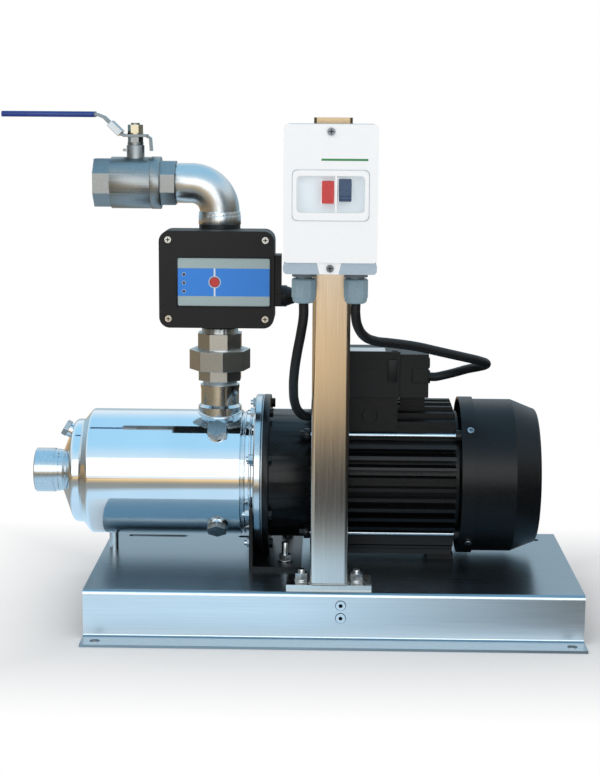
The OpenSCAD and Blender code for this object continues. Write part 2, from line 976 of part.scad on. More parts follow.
// Curved vanes of one impeller, seen along the shaft
module vane_ring() {
  curve_r = 40;
  intersection() {
    difference() {
      circle(impeller_r - 1);
      circle(hub_r + 3);
    }
    for (k = [1:vanes_n])
      rotate(360 * k / vanes_n)
        translate([0, curve_r])
          intersection() {
            difference() {
              circle(curve_r);
              circle(curve_r - 1.5);
            }
            translate([0, -curve_r])
              square(2 * curve_r);
          }
  }
}

module impellers() {
  color("#b9b29a")
    for (i = [0:stages - 1]) {
      back_x = stack_x + i * stage_len + 18;
      difference() {
        union() {
          shaft_bar(hub_r, back_x - 12, back_x + 6);
          shaft_bar(impeller_r, back_x, back_x + shroud_t);
          on_shaft()
            translate([0, 0, back_x - vane_h])
              linear_extrude(vane_h + shroud_t / 2)
                vane_ring();
          ring(impeller_eye_r, impeller_r, back_x - vane_h - shroud_t, back_x - vane_h + fit);
        }
        shaft_bar(shaft_r + fit, back_x - 20, back_x + 20);
      }
    }
}

module rotor_shaft() {
  color("#a8adb2")
    turned([[0, stack_x], [shaft_r - 1, stack_x], [shaft_r, stack_x + 1], [shaft_r, bracket_x + 15],
      [bearing_bore_r, bracket_x + 16], [bearing_bore_r, drive_bearing_x + bearing_w],
      [core_shaft_r, drive_bearing_x + bearing_w + 1], [core_shaft_r, fan_bearing_x - 1],
      [bearing_bore_r, fan_bearing_x], [bearing_bore_r, fan_bearing_x + bearing_w + 2],
      [shaft_r - 1, fan_bearing_x + bearing_w + 3], [shaft_r - 1, shaft_end], [0, shaft_end]]);
}

// Turning half of the shaft seal, with its spring cup
module seal_head() {
  face_x = spigot_x - seat_gap;
  color("#6f7479")
    turned([[shaft_r + fit, face_x - 16], [14, face_x - 16], [14, face_x - 11], [18, face_x - 11],
      [18, face_x - 3], [15, face_x - 3], [15, face_x], [shaft_r + fit, face_x]]);
}

// Motor

module tie_rod_places() {
  for (angle = [45:90:315])
    beside_shaft(rod_circle, angle)
      children();
}

module cover_screw_places() {
  for (angle = [45:90:315])
    radial(cover_x + cover_ring / 2 + 2, angle)
      children();
}

module motor_bracket() {
  wall_x = drive_bearing_x - 5;
  lantern_x = bracket_x + 10;
  color("#18181a")
    difference() {
      union() {
        turned([[0, bracket_x], [flange_r, bracket_x], [flange_r, bracket_x + bracket_flange_t],
          [barrel_r, bracket_x + bracket_flange_t], [barrel_r, frame_x], [0, frame_x]]);
        tie_rod_places()
          column(ear_r, frame_x - ear_len, ear_len);
      }
      shaft_bar(bearing_bore_r + 3, bracket_x - over, frame_x + over);
      shaft_bar(bearing_r + fit, drive_bearing_x, frame_x + over);
      ring(bearing_r - 4, barrel_r - barrel_wall, lantern_x, wall_x);
      ring(bearing_r + 8, barrel_r - barrel_wall, wall_x + 7, frame_x + over);
      translate([lantern_x + 2, axis_y - 24, axis_z - barrel_r - over])
        cube([wall_x - lantern_x - 4, 48, barrel_wall + 12]);
      bolt_circle()
        bolt_hole(bracket_x, bracket_flange_t, flange_bolt_d);
      tie_rod_places()
        column((rod_d + 2 * seat_gap) / 2, frame_x - ear_len - over, ear_len + 2 * over);
    }
}

// Section of the frame: a round core with upright fins, level side fins and a flat seat
module frame_section() {
  rib_t = 3;
  rod_gap = 4.8;
  side_half = rod_circle * sin(45) - (rod_d + fin_t) / 2 - rod_gap;
  rib_pitch = (rod_circle * sin(45) - (rod_d + rib_t) / 2 - 2.3) / 4;
  difference() {
    union() {
      circle(frame_r);
      translate([-pad_w / 2, -frame_half])
        square([pad_w, 30]);
      intersection() {
        circle(frame_half);
        for (k = [-4:4])
          translate([k * rib_pitch - rib_t / 2, -frame_half])
            square([rib_t, 2 * frame_half]);
      }
      intersection() {
        circle(fin_reach + 3);
        for (k = [0:fins_n - 1])
          translate([-fin_reach, -side_half + 2 * side_half * k / (fins_n - 1) - fin_t / 2])
            square([2 * fin_reach, fin_t]);
      }
    }
    circle(stator_r + fit);
  }
}

module motor_frame() {
  pedestal_x = terminal_x - 2;
  pedestal_y = terminal_y - terminal_depth / 2 + 2;
  pedestal_z = axis_z + rod_circle * sin(45) + rod_d;
  color("#1a1a1c")
    difference() {
      union() {
        translate([frame_x, axis_y, axis_z])
          rotate([90, 0, 90])
            linear_extrude(frame_len)
              frame_section();
        translate([pedestal_x, pedestal_y, pedestal_z])
          cube([terminal_len, terminal_depth, terminal_z - pedestal_z - fit]);
        translate([entry_x + 2, axis_y - 26, axis_z + frame_half - 8])
          cube([entry_w - 4, 12, entry_z - axis_z - frame_half + 8]);
      }
      shaft_bar(stator_r + fit, frame_x - over, frame_end + over);
      translate([0, axis_y + frame_r, axis_z + frame_half])
        rotate([90, 0, 0])
          linear_extrude(2 * frame_r)
            polygon([[frame_end - 4, over], [frame_end + over, over], [frame_end + over, -14]]);
      translate([pedestal_x + 20, terminal_y - 12, axis_z])
        cube([24, 24, terminal_z - axis_z + over]);
    }
}

module rear_shield() {
  boss_x = fan_bearing_x - 4;
  shield_r = frame_r + shield_rim;
  color("#1c1c1e")
    difference() {
      union() {
        turned([[0, frame_end], [shield_r, frame_end], [shield_r, frame_end + shield_t - 3],
          [frame_r - 4, frame_end + shield_t], [0, frame_end + shield_t]]);
        shaft_bar(bearing_r + 7, boss_x, frame_end + shield_t + 4);
        tie_rod_places()
          column(ear_r, frame_end, rear_ear_len);
      }
      shaft_bar(bearing_bore_r + 2, boss_x - over, frame_end + shield_t + 6);
      shaft_bar(bearing_r + fit, boss_x - over, fan_bearing_x + bearing_w);
      tie_rod_places()
        column((rod_d + 2 * fit) / 2, frame_end - over, 11);
      cover_screw_places()
        column(screw_r + fit, rod_circle - ear_r + 2, 3 * ear_r);
    }
}

module tie_rods() {
  color("#d2d6da")
    tie_rod_places()
      union() {
        flats(8, 6, frame_x - ear_len - rod_head_h, rod_head_h);
        column(rod_d / 2, frame_x - ear_len - over, over + ear_len + frame_len + 9);
      }
}

module stator_core() {
  slots_n = 24;
  color("#7b7d80")
    difference() {
      ring(stator_bore_r, stator_r, core_x, core_x + core_len);
      for (k = [1:slots_n])
        on_shaft()
          rotate(360 * k / slots_n)
            translate([stator_bore_r - over, -1.5, core_x - over])
              cube([11, 3, core_len + 2 * over]);
    }
}

// End turns of the copper winding, bound into rings
module stator_windings() {
  color("#b5652d")
    for (from = [core_x - winding_len - seat_gap, core_x + core_len + seat_gap])
      on_shaft()
        translate([0, 0, from + winding_len / 2])
          rotate_extrude()
            translate([(stator_bore_r + stator_r) / 2 - 1, 0])
              rounded_rect(13, winding_len, 5);
}

module rotor_core() {
  color("#8a8c8f")
    difference() {
      union() {
        shaft_bar(stator_bore_r - air_gap, core_x, core_x + core_len);
        shaft_bar(stator_bore_r - 5, core_x - 8, core_x + core_len + 8);
      }
      shaft_bar(core_shaft_r + fit, core_x - 10, core_x + core_len + 10);
    }
}

module race_groove(from) {
  on_shaft()
    translate([0, 0, from + bearing_w / 2])
      rotate_extrude()
        translate([bearing_mid_r, 0])
          circle(d = ball_d + 4 * fit);
}

module bearing_outer_rings() {
  color("#9aa0a6")
    for (from = [drive_bearing_x, fan_bearing_x])
      difference() {
        ring(bearing_mid_r + race_gap, bearing_r, from, from + bearing_w);
        race_groove(from);
      }
}

// Inner rings with their balls, which turn with the shaft
module bearing_inner_sets() {
  balls_n = 9;
  color("#b3b8bd")
    for (from = [drive_bearing_x, fan_bearing_x]) {
      difference() {
        ring(bearing_bore_r + fit, bearing_mid_r - race_gap, from, from + bearing_w);
        race_groove(from);
      }
      for (k = [1:balls_n])
        beside_shaft(bearing_mid_r, 360 * k / balls_n)
          translate([0, 0, from + bearing_w / 2])
            sphere(d = ball_d);
    }
}

module cooling_fan() {
  color("#2a2c2e")
    difference() {
      union() {
        shaft_bar(18, fan_x - 2, fan_x + fan_len - 4);
        shaft_bar(52, fan_x, fan_x + 2.5);
        for (k = [1:blades_n])
          on_shaft()
            rotate(360 * k / blades_n)
              translate([14, -1.25, fan_x])
                cube([fan_r - 14, 2.5, fan_len]);
      }
      shaft_bar(shaft_r - 1 + fit, fan_x - 10, fan_x + fan_len + 10);
    }
}

// Outline of the fan cover, or of its hollow when drawn in by the wall
function cover_outline(inset) =
  let (start = cover_x - (inset > 0 ? over : 0))
  let (ring_end = cover_x + cover_ring, end = cover_x + fan_cover_len)
  concat(
    [[0, start], [cover_ring_r - inset, start], [cover_ring_r - inset, ring_end - inset],
      [fan_cover_r - inset, ring_end - inset], [fan_cover_r - inset, end - cover_taper - inset / 2]],
    [[cover_cone_r - inset, end - 6 - inset]],
    arc_points([cover_cone_r - 4.5 - inset, end - 6.5 - inset], 4.5, 20, 70, 4),
    [[0, end - inset]]);

module fan_cover() {
  end = cover_x + fan_cover_len;
  color("#1b1c1e")
    difference() {
      turned(cover_outline(0));
      turned(cover_outline(cover_wall));
      for (r = [16:11:cover_cone_r - 18])
        difference() {
          ring(r, r + 6, end - 20, end + over);
          for (turn = [0, 90])
            translate([end - 30, axis_y, axis_z])
              rotate([turn + 45, 0, 0])
                translate([0, -cover_cone_r, -2.5])
                  cube([40, 2 * cover_cone_r, 5]);
        }
      cover_screw_places()
        column(screw_r + bolt_play, rod_circle, 20);
    }
}

// Terminal box

module box_shell(x, y, z, size, wall, open_top) {
  difference() {
    translate([x, y, z])
      cube(size);
    translate([x + wall, y + wall, open_top ? z + wall : z - over])
      cube([size[0] - 2 * wall, size[1] - 2 * wall, size[2] - wall + over]);
  }
}

module lid_screw_places() {
  inset = 6;
  for (side = [-1, 1], end = [0, 1])
    translate([terminal_x + inset + end * (terminal_len - 2 * inset),
      terminal_y + side * (terminal_depth / 2 - inset), 0])
      children();
}

module terminal_box() {
  color("#19191b")
    difference() {
      union() {
        box_shell(terminal_x, terminal_y - terminal_depth / 2, terminal_z,
          [terminal_len, terminal_depth, terminal_h], box_wall, true);
        lid_screw_places()
          column(5, terminal_z, terminal_h);
      }
      lid_screw_places()
        column(screw_r + fit, terminal_lid_z - 14, 20);
    }
}

module terminal_lid() {
  color("#151517")
    difference() {
      box_shell(terminal_x, terminal_y - terminal_depth / 2, terminal_lid_z,
        [terminal_len, terminal_depth, terminal_lid_h], box_wall, false);
      lid_screw_places() {
        column(screw_r + bolt_play, terminal_lid_z - over, terminal_lid_h + 2 * over);
        column(screw_head_r + bolt_play, terminal_top - 4, 6);
      }
    }
}

module terminal_block() {
  block_z = terminal_z + box_wall;
  color("#d9d3c3")
    translate([terminal_x + 14, terminal_y - 13, block_z])
      cube([terminal_len - 28, 26, 12]);
  color("#c7a24a")
    for (col = [-1:1], row = [-1, 1])
      translate([terminal_x + terminal_len / 2 + col * 14, terminal_y + row * 7, block_z + 12])
        cylinder(d = 5, h = 9);
}

// Closed box beside the terminal box for the motor cable
module cable_entry_box() {
  right = entry_x + entry_w;
  color("#161618")
    difference() {
      union() {
        translate([entry_x, entry_front, entry_z])
          cube([entry_w, entry_depth, entry_h]);
        translate([right - 18, entry_front - 2.5, entry_cable_z - 2])
          cube([17, 8, 15]);
        translate([right - 1, terminal_y, entry_z + entry_h - 13])
          rotate([0, 90, 0])
            cylinder(r = 6, h = 3.5);
        translate([right - 1, terminal_y, entry_cable_z])
          rotate([0, 90, 0])
            cylinder(r = cable_d / 2 + 2.5, h = collar_t + 1);
      }
      translate([entry_x + box_wall, entry_front + box_wall, entry_z + box_wall])
        cube([entry_w - 2 * box_wall, entry_depth - 2 * box_wall, entry_h - 2 * box_wall]);
    }
}

// Screws of the terminal lid, fan cover, controller and enclosure
module cover_screws() {
  color("#cfd3d6") {
    lid_screw_places()
      translate([0, 0, terminal_top - 4])
        pan_screw(screw_head_r, screw_head_h, screw_r, terminal_lid_h - 4 + 10);
    cover_screw_places()
      translate([0, 0, cover_ring_r])
        pan_screw(screw_head_r, screw_head_h, screw_r, 9);
    control_screw_places()
      to_front(0, control_front + 3, 0)
        pan_screw(screw_head_r, screw_head_h, screw_r, control_cover_d + 5);
    enclosure_screw_places()
      rotate([90, 0, 0])
        pan_screw(screw_head_r, screw_head_h, screw_r, screw_len);
  }
}

// Union on the discharge socket

module bored(bore, from, to) {
  difference() {
    children();
    column(bore / 2, from - over, to - from + 2 * over);
  }
}

module union_tailpiece() {
  low = socket_top - thread_len;
  collar_z = union_nut_z + union_lip;
  color("#aeb2b4")
    on_riser()
      bored(pipe_bore, low, collar_z + 6)
        union() {
          column(port_r - fit, low, union_low_z - low + over);
          flats(union_low_af, 8, union_low_z, union_nut_z - union_low_z);
          column(port_r, union_nut_z - over, union_lip + 2 * over);
          column(union_collar_r, collar_z, 6);
        }
}

module union_nut() {
  color("#b3b7b8")
    on_riser()
      difference() {
        rotate(-14)
          flats(union_nut_af, 8, union_nut_z + fit, union_nut_h - 2 * fit);
        column(port_r + bolt_play, union_nut_z - over, union_nut_h + 2 * over);
        column(union_collar_r + 1 + fit, union_nut_z + union_lip - seat_gap, union_nut_h);
      }
}

module union_head() {
  low = union_nut_z + union_lip + 6 + gasket_t;
  top = control_z + 10;
  color("#aeb2b4")
    on_riser()
      bored(pipe_bore, low, top)
        union() {
          column(union_collar_r + 1, low, union_high_z - low + over);
          flats(union_high_af, 8, union_high_z, union_high_h);
          column(thread_r, union_top - over, top - union_top + over);
        }
}

// Flow controller

module control_screw_places() {
  inset = 10;
  for (side = [-1, 1], end = [0, 1])
    translate([discharge_x + side * (control_w / 2 - inset), 0,
      control_z + inset + end * (control_h - 2 * inset)])
      children();
}

module control_box(front, back, inset) {
  rounded_block(discharge_x, control_z + control_h / 2, control_w - 2 * inset, control_h - 2 * inset,
    control_r - inset / 2, front, back);
}

// Water passage with its back shell, the poppet's seat and guide
module controller_body() {
  color("#17181a")
    difference() {
      union() {
        control_box(control_y, control_y + control_back, 0);
        on_riser() {
          column(flow_neck_r, control_z - 6, 12);
          column(flow_r, control_z + 2, control_h - 4);
          column(elbow_collar_r - 0.5, control_top - 4, elbow_z - control_top + 4 - seat_gap);
          column(thread_r, control_top - 4, 18);
        }
      }
      difference() {
        on_riser() {
          column(thread_r + fit, control_z - 6 - over, 16 + over);
          column(flow_bore_r, control_z, control_h + 20);
        }
        on_riser() {
          difference() {
            column(flow_bore_r + over, seat_z - ledge_t / 2, ledge_t);
            column(seat_r, seat_z - ledge_t, 2 * ledge_t);
          }
          difference() {
            translate([-flow_bore_r - over, -3.5, guide_z])
              cube([2 * flow_bore_r + 2 * over, 7, guide_t]);
            column(poppet_stem_r + fit, guide_z - over, guide_t + 2 * over);
          }
        }
      }
      control_screw_places()
        to_front(0, control_y, 0)
          column(screw_r + fit, -9, 9 + over);
    }
}

module controller_cover() {
  color("#1a1b1d")
    difference() {
      control_box(control_front, control_y, 0);
      difference() {
        control_box(control_front + control_wall, control_y + over, control_wall);
        control_screw_places()
          to_front(0, control_y + 2 * over, 0)
            cylinder(r = 6, h = control_cover_d + over);
      }
      rounded_block(panel_x, panel_z, panel_w + 2 * seat_gap, panel_h + 2 * seat_gap, 2,
        control_front - over, control_front + panel_t + fit);
      to_front(reset_x, control_front + control_wall + over, panel_z)
        cylinder(d = reset_d + 2 * run_gap, h = control_wall + 2 * over);
      control_screw_places() {
        to_front(0, control_y + over, 0)
          cylinder(r = screw_r + bolt_play, h = control_cover_d + 2 * over);
        to_front(0, control_front + 3, 0)
          cylinder(r = screw_head_r + bolt_play, h = 3 + over);
      }
    }
}

module controller_panel() {
  color("#3f7fc4")
    difference() {
      rounded_block(panel_x, panel_z, panel_w, panel_h, 2, control_front, control_front + panel_t);
      to_front(reset_x, control_front + panel_t + over, panel_z)
        cylinder(d = reset_d + 2 * run_gap, h = panel_t + 2 * over);
    }
}

// Circuit board in the cover, and the wiring box with its cable gland
module controller_connector() {
  link_z = control_z + 53;
  color("#141516") {
    translate([link_x, link_y - link_d / 2, link_z - link_h / 2])
      cube([link_w, link_d, link_h]);
    for (k = [0:3], side = [-1, 1])
      translate([link_x + 1, link_y - link_d / 2 - 1, link_z + side * (link_h / 2 - 3 - 4 * k) - 1])
        cube([link_w - 2, link_d + 2, 2]);
    translate([link_x + link_w, link_y, link_gland_z])
      rotate([0, 90, 0]) {
        column((gland_d - 1) / 2, -over, 6 + over);
        translate([0, 0, 5])
          cylinder(d1 = gland_d - 2, d2 = gland_d - 9, h = link_gland_len - 5);
      }
  }
}

module reset_button() {
  color("#c8202a")
    translate([reset_x, control_front - reset_travel, panel_z])
      rotate([-90, 0, 0]) {
        cylinder(d = reset_d, h = reset_len);
        column((reset_d + 3) / 2, reset_travel + control_wall + run_gap, 2);
      }
}

module check_poppet() {
  color("#d7d2c4")
    on_riser() {
      column(poppet_r, poppet_z, poppet_t);
      column(poppet_stem_r, poppet_z, guide_z + guide_t - poppet_z + 6);
    }
}

// Coil of round wire along Z, from rings of points around a helix
module coil(r, wire, h, turns, steps, sides) {
  count = turns * steps;
  ring = [for (i = [0:count], k = [0:sides - 1])
    let (a = 360 * i / steps, b = 360 * k / sides, reach = r + wire / 2 * cos(b))
    [reach * cos(a), reach * sin(a), wire / 2 + (h - wire) * i / count + wire / 2 * sin(b)]];
  walls = [for (i = [0:count - 1], k = [0:sides - 1])
    let (n = (k + 1) % sides)
    [i * sides + k, i * sides + n, (i + 1) * sides + n, (i + 1) * sides + k]];
  caps = [[for (k = [sides - 1:-1:0]) k], [for (k = [0:sides - 1]) count * sides + k]];
  polyhedron(ring, concat(walls, caps));
}

module poppet_spring() {
  color("#a9adb1")
    on_riser()
      translate([0, 0, poppet_z + poppet_t + seat_gap])
        coil(spring_r, spring_wire, guide_z - poppet_z - poppet_t - 2 * seat_gap, spring_turns, 16, 8);
}

// Elbow and ball valve

module elbow() {
  start_z = elbow_z;
  bend_z = valve_z - elbow_bend;
  male_x = valve_right - 13;
  bend_x = discharge_x - elbow_bend;
  color("#b9b6ad")
    difference() {
      union() {
        on_riser() {
          column(elbow_collar_r, start_z, elbow_collar_h);
          column(elbow_r + 1, start_z, bend_z - start_z);
        }
        translate([bend_x, axis_y, bend_z])
          rotate([90, 0, 0])
            rotate_extrude(angle = 90)
              translate([elbow_bend, 0])
                circle(elbow_r);
        on_valve() {
          column(thread_r - 1, male_x, bend_x - male_x);
          column(elbow_r, valve_right + seat_gap, bend_x - valve_right - seat_gap);
        }
      }
      on_riser()
        column(thread_r + fit, start_z - over, elbow_collar_h + 1 + over);
      on_riser()
        column(pipe_bore / 2, start_z, bend_z - start_z);
      translate([bend_x, axis_y, bend_z])
        rotate([90, 0, 0])
          rotate_extrude(angle = 90)
            translate([elbow_bend, 0])
              circle(d = pipe_bore);
      on_valve()
        column(pipe_bore / 2, male_x - over, bend_x - male_x + over);
    }
}

module valve_body() {
  cavity_x = valve_x - ball_r - seat_t + 4;
  barrel_x = valve_left + valve_left_len - over;
  color("#a9aba9")
    difference() {
      union() {
        on_valve() {
          flats(valve_left_af, 8, valve_left, valve_left_len);
          column(valve_d / 2, barrel_x, valve_ring_x - barrel_x);
        }
        translate([valve_x, axis_y, valve_z + valve_d / 2 - 6])
          cylinder(r = stem_neck_r, h = stem_neck_z - valve_z - valve_d / 2 + 6);
        translate([valve_x - 14, axis_y - 5, stem_neck_z - 7])
          cube([10, 10, 3]);
      }
      on_valve() {
        column(port_r, valve_left - over, 18 + over);
        column(valve_bore_r, valve_left, valve_len);
        column(ball_r + 2, cavity_x, valve_right - cavity_x);
        column(valve_spigot_r + fit, valve_ring_x - valve_spigot - seat_gap, valve_len);
      }
      translate([valve_x, axis_y, valve_z])
        cylinder(r = stem_r + fit, h = stem_neck_z - valve_z + over);
    }
}

// Screwed end that holds the right-hand seat against the ball
module valve_end() {
  seat_x = valve_x + ball_r + seat_t - 4;
  hex_x = valve_right - valve_end_len;
  spigot_left = valve_ring_x - valve_spigot;
  color("#adafad")
    on_valve()
      difference() {
        union() {
          column(valve_spigot_r, spigot_left, valve_spigot + over);
          column((valve_d + 1) / 2, valve_ring_x, hex_x - valve_ring_x);
          flats(valve_right_af, 8, hex_x - over, valve_end_len + over);
        }
        column(ball_r + 2, spigot_left - over, seat_x - spigot_left + over);
        column(valve_bore_r, valve_ring_x, valve_right - valve_ring_x + over);
        column(thread_r - 1 + fit, valve_right - 14, 14 + over);
      }
}

module valve_ball() {
  color("#dfe3e6")
    translate([valve_x, axis_y, valve_z])
      difference() {
        sphere(r = ball_r);
        rotate([0, 90, 0])
          column(valve_bore_r, -ball_r - over, 2 * ball_r + 2 * over);
        translate([-ball_r, -tang_w / 2 - fit, ball_r - tang_h])
          cube([2 * ball_r, tang_w + 2 * fit, 2 * tang_h]);
      }
}

module valve_seats() {
  color("#f0eee6")
    for (side = [0, 1])
      translate([valve_x, axis_y, valve_z])
        mirror([side, 0, 0])
          difference() {
            rotate([0, 90, 0])
              translate([0, 0, ball_r - 4 + fit])
                difference() {
                  cylinder(r = ball_r + 2 - seat_gap, h = seat_t - 2 * fit);
                  column(valve_bore_r + 0.5, -over, seat_t + 2 * over);
                }
            sphere(r = ball_r + seat_gap);
          }
}

// Stem with its packing nut, spring washers and lever nut
module valve_stem() {
  stem_top = lever_z + lever_t + washer_t + stem_nut_h + 2;
  color("#b9bdc0")
    translate([valve_x, axis_y, 0]) {
      intersection() {
        column(stem_r, valve_z + ball_r - tang_h + seat_gap, tang_h);
        translate([-stem_r, -tang_w / 2, valve_z])
          cube([2 * stem_r, tang_w, valve_d]);
      }
      column(stem_r, valve_z + ball_r, stem_top - valve_z - ball_r);
      rotate(30) {
        washer(washer_d + 2, stem_neck_z + run_gap, 2 * washer_t - run_gap, 2 * stem_r);
        nut(stem_nut_af, stem_neck_z + 2 * washer_t, packing_h, 2 * stem_r);
        washer(washer_d + 2, lever_z + lever_t, washer_t, 2 * stem_r);
        nut(stem_nut_af, lever_z + lever_t + washer_t, stem_nut_h, 2 * stem_r);
      }
    }
}

// Strip of one thickness along a bent line in the X-Z plane
module bent_strip(line, t, w) {
  last = len(line) - 1;
  heading = [for (i = [0:last]) let (d = line[min(i + 1, last)] - line[max(i - 1, 0)]) d / norm(d)];
  side = [for (h = heading) [-h[1], h[0]]];
  upper = [for (i = [0:last]) line[i] + side[i] * t / 2];
  lower = [for (i = [last:-1:0]) line[i] - side[i] * t / 2];
  translate([0, axis_y + w / 2, 0])
    rotate([90, 0, 0])
      linear_extrude(w)
        polygon(concat(upper, lower));
}

module lever() {
  flat_z = lever_z + lever_t / 2;
  color("#c5c9cc")
    difference() {
      union() {
        bent_strip([[valve_x + 14, flat_z], [lever_foot_x, flat_z]], lever_t, lever_w);
        bent_strip([[lever_foot_x + 2, flat_z], slope_low, slope_high, [lever_bend_x - 5, lever_bend_z],
          [lever_tip_x + 3, lever_bend_z]], lever_t, lever_w);
        bent_strip([[valve_x + 12, flat_z], [valve_x + 17, flat_z - 3], [valve_x + 18, flat_z - 17]],
          lever_t, 10);
      }
      translate([valve_x, axis_y, lever_z - over])
        cylinder(r = stem_r + fit, h = lever_t + 2 * over);
    }
}

module lever_grip() {
  grip_x = lever_bend_x - 7 - grip_len;
  color("#1f3fa0")
    difference() {
      translate([grip_x, axis_y, lever_bend_z])
        rotate([90, 0, 90])
          linear_extrude(grip_len)
            rounded_rect(grip_w, grip_t, grip_t / 2 - 0.2);
      translate([grip_x + 3, axis_y - lever_w / 2 - seat_gap, lever_bend_z - lever_t / 2 - seat_gap])
        cube([grip_len, lever_w + 2 * seat_gap, lever_t + 2 * seat_gap]);
    }
}

// Locking sleeve that slides along the sloping part of the lever
module lever_lock() {
  mid = (slope_low + slope_high) / 2 + lock_rest * [cos(lock_slope), -sin(lock_slope)];
  slot_t = lever_t + 2 * run_gap;
  slot_side = lever_w + 2 * run_gap;
  color("#cdd1d4")
    translate([mid[0], axis_y, mid[1]])
      rotate([0, lock_slope, 0])
        difference() {
          cube([lock_len, slot_side + 2 * lock_wall, slot_t + 2 * lock_wall], center = true);
          cube([lock_len + 2 * over, slot_side, slot_t], center = true);
        }
}

// Switch enclosure

module enclosure_screw_places() {
  for (z = [case_z + 6, case_top - 7])
    translate([case_x, z < case_z + band_h ? band_front : case_front, z])
      children();
}

module enclosure_base() {
  mid_z = case_z + case_h / 2;
  inner_w = case_w - 2 * case_wall;
  color("#d3d6d4")
    difference() {
      union() {
        rounded_block(case_x, mid_z, case_w, case_h, case_corner,
          case_split, mast_front);
        rounded_block(case_x, case_z + band_h / 2, case_w, band_h, case_corner,
          band_front, mast_front);
      }
      rounded_block(case_x, mid_z, inner_w, case_h - 2 * case_wall, 2,
        case_split - over, mast_front - case_wall);
      translate([case_x - inner_w / 2, band_front + 10, case_z + case_wall])
        cube([inner_w, mast_front - case_wall - band_front - 10, band_h]);
      for (side = [-1, 1])
        translate([case_x + side * gland_span / 2, gland_y, case_z - over])
          cylinder(r = gland_d / 2 - 3 + fit, h = case_wall + 2 * over);
      to_front(case_x, band_front + screw_len, case_z + 6)
        cylinder(r = screw_r + fit, h = screw_len + over);
    }
}

module enclosure_cover() {
  low = case_z + band_h + seat_gap;
  high = case_top;
  mid_z = (low + high) / 2;
  color("#eceeed")
    difference() {
      union() {
        rounded_block(case_x, mid_z, case_w, high - low, case_corner,
          case_front, case_split - seat_gap);
        rounded_block(case_x, rim_z, rim_w, rim_h, 6,
          case_front - rim_proud, case_front + over);
      }
      difference() {
        rounded_block(case_x, mid_z, case_w - 2 * case_wall,
          high - low - 2 * case_wall, 2, case_front + case_wall, case_split + over);
        to_front(case_x, case_split - seat_gap, high - 7)
          cylinder(r = 5.5, h = case_split - case_front);
      }
      rounded_block(case_x, window_z, window_w, window_h, 4,
        case_front - 5, case_front + case_wall + over);
      to_front(case_x, case_front + screw_len, high - 7)
        cylinder(r = screw_r + fit, h = screw_len + over);
    }
}

module button_opening(x, z, w, front, back) {
  play = 2 * run_gap;
  translate([x - w / 2 - play, front, z - button_h / 2 - play])
    cube([w + 2 * play, back - front, button_h + 2 * play]);
}

module enclosure_window() {
  back = case_front + window_t;
  color("#cfe0e6", 0.5)
    difference() {
      rounded_block(case_x, window_z, window_w - 2 * seat_gap, window_h - 2 * seat_gap, 4 - seat_gap,
        case_front, back);
      button_opening(stop_x, stop_z, stop_w, case_front - over, back + over);
      button_opening(start_x, start_z, start_w, case_front - over, back + over);
    }
}

// Motor-protection switch with guides for its two buttons
module protector_module() {
  back = mast_front - case_wall;
  color("#e4e4df")
    difference() {
      union() {
        translate([case_x + 5 - module_w / 2, module_front, window_z - module_h / 2])
          cube([module_w, back - module_front, module_h]);
        rounded_block(case_x, window_z, window_w + 8, window_h + 8, 2,
          module_front, module_front + 2);
      }
      for (b = [[stop_x, stop_z, stop_w], [start_x, start_z, start_w]])
        button_opening(b[0], b[1], b[2], module_front - over,
          module_front + button_root + button_travel + 1);
    }
}

module push_button(x, z, w, front) {
  translate([x - w / 2, front, z - button_h / 2])
    cube([w, module_front + button_root - front, button_h]);
}

module stop_button() {
  color("#d6232b")
    push_button(stop_x, stop_z, stop_w, case_front - 1);
}

module start_button() {
  color("#26304a") {
    push_button(start_x, start_z, start_w, case_front);
    translate([start_x - start_w / 2, case_front - 1.5, start_z - button_h / 2 + 2])
      cube([start_w, 2, 3]);
  }
}

module enclosure_glands() {
  r = gland_d / 2;
  top = case_z + case_wall + 8;
  low = case_z - gland_drop;
  nut_z = case_z - 8;
  color("#aeb9bf")
    for (side = [-1, 1])
      translate([case_x + side * gland_span / 2, gland_y, 0]) {
        union() {
          rotate_extrude()
            polygon(concat(
              [[0, low], [r - 5, low]],
              arc_points([r - 5, low + 4], 4, -80, 0, 4),
              [[r - 1, nut_z], [r - 4, nut_z], [r - 4, case_z - 6], [r - 0.5, case_z - 6],
                [r - 0.5, case_z], [r - 3, case_z], [r - 3, top], [0, top]]));
          flats(gland_d - 0.5, 10, low + 6, nut_z - low - 7);
        }
        nut(gland_d + 2, case_z + case_wall, 5, gland_d - 6);
      }
}

// Cables: round tubes swept along their routes

function heading(route, i) =
  let (d = route[min(i + 1, len(route) - 1)] - route[max(i - 1, 0)]) d / norm(d);

function square_to(v, t) = let (w = v - t * (v * t)) w / norm(w);

function side_axis(route, i) = i == 0
  ? square_to([0, 1, 0.2], heading(route, 0))
  : square_to(side_axis(route, i - 1), heading(route, i));

module cable(route, d) {
  last = len(route) - 1;
  points = [for (i = [0:last])
    let (t = heading(route, i), u = side_axis(route, i), v = cross(t, u))
    for (k = [0:cable_sides - 1])
      let (a = 360 * k / cable_sides) route[i] + d / 2 * (u * cos(a) + v * sin(a))];
  walls = [for (i = [0:last - 1], k = [0:cable_sides - 1])
    let (n = (k + 1) % cable_sides)
    [i * cable_sides + k, (i + 1) * cable_sides + k, (i + 1) * cable_sides + n, i * cable_sides + n]];
  caps = [[for (k = [0:cable_sides - 1]) k], [for (k = [cable_sides - 1:-1:0]) last * cable_sides + k]];
  polyhedron(points, concat(walls, caps));
}

module control_cable() {
  color("#1c1d1f")
    cable(control_route, cable_d);
}

module motor_cable() {
  color("#1c1d1f")
    cable(motor_route, cable_d);
}

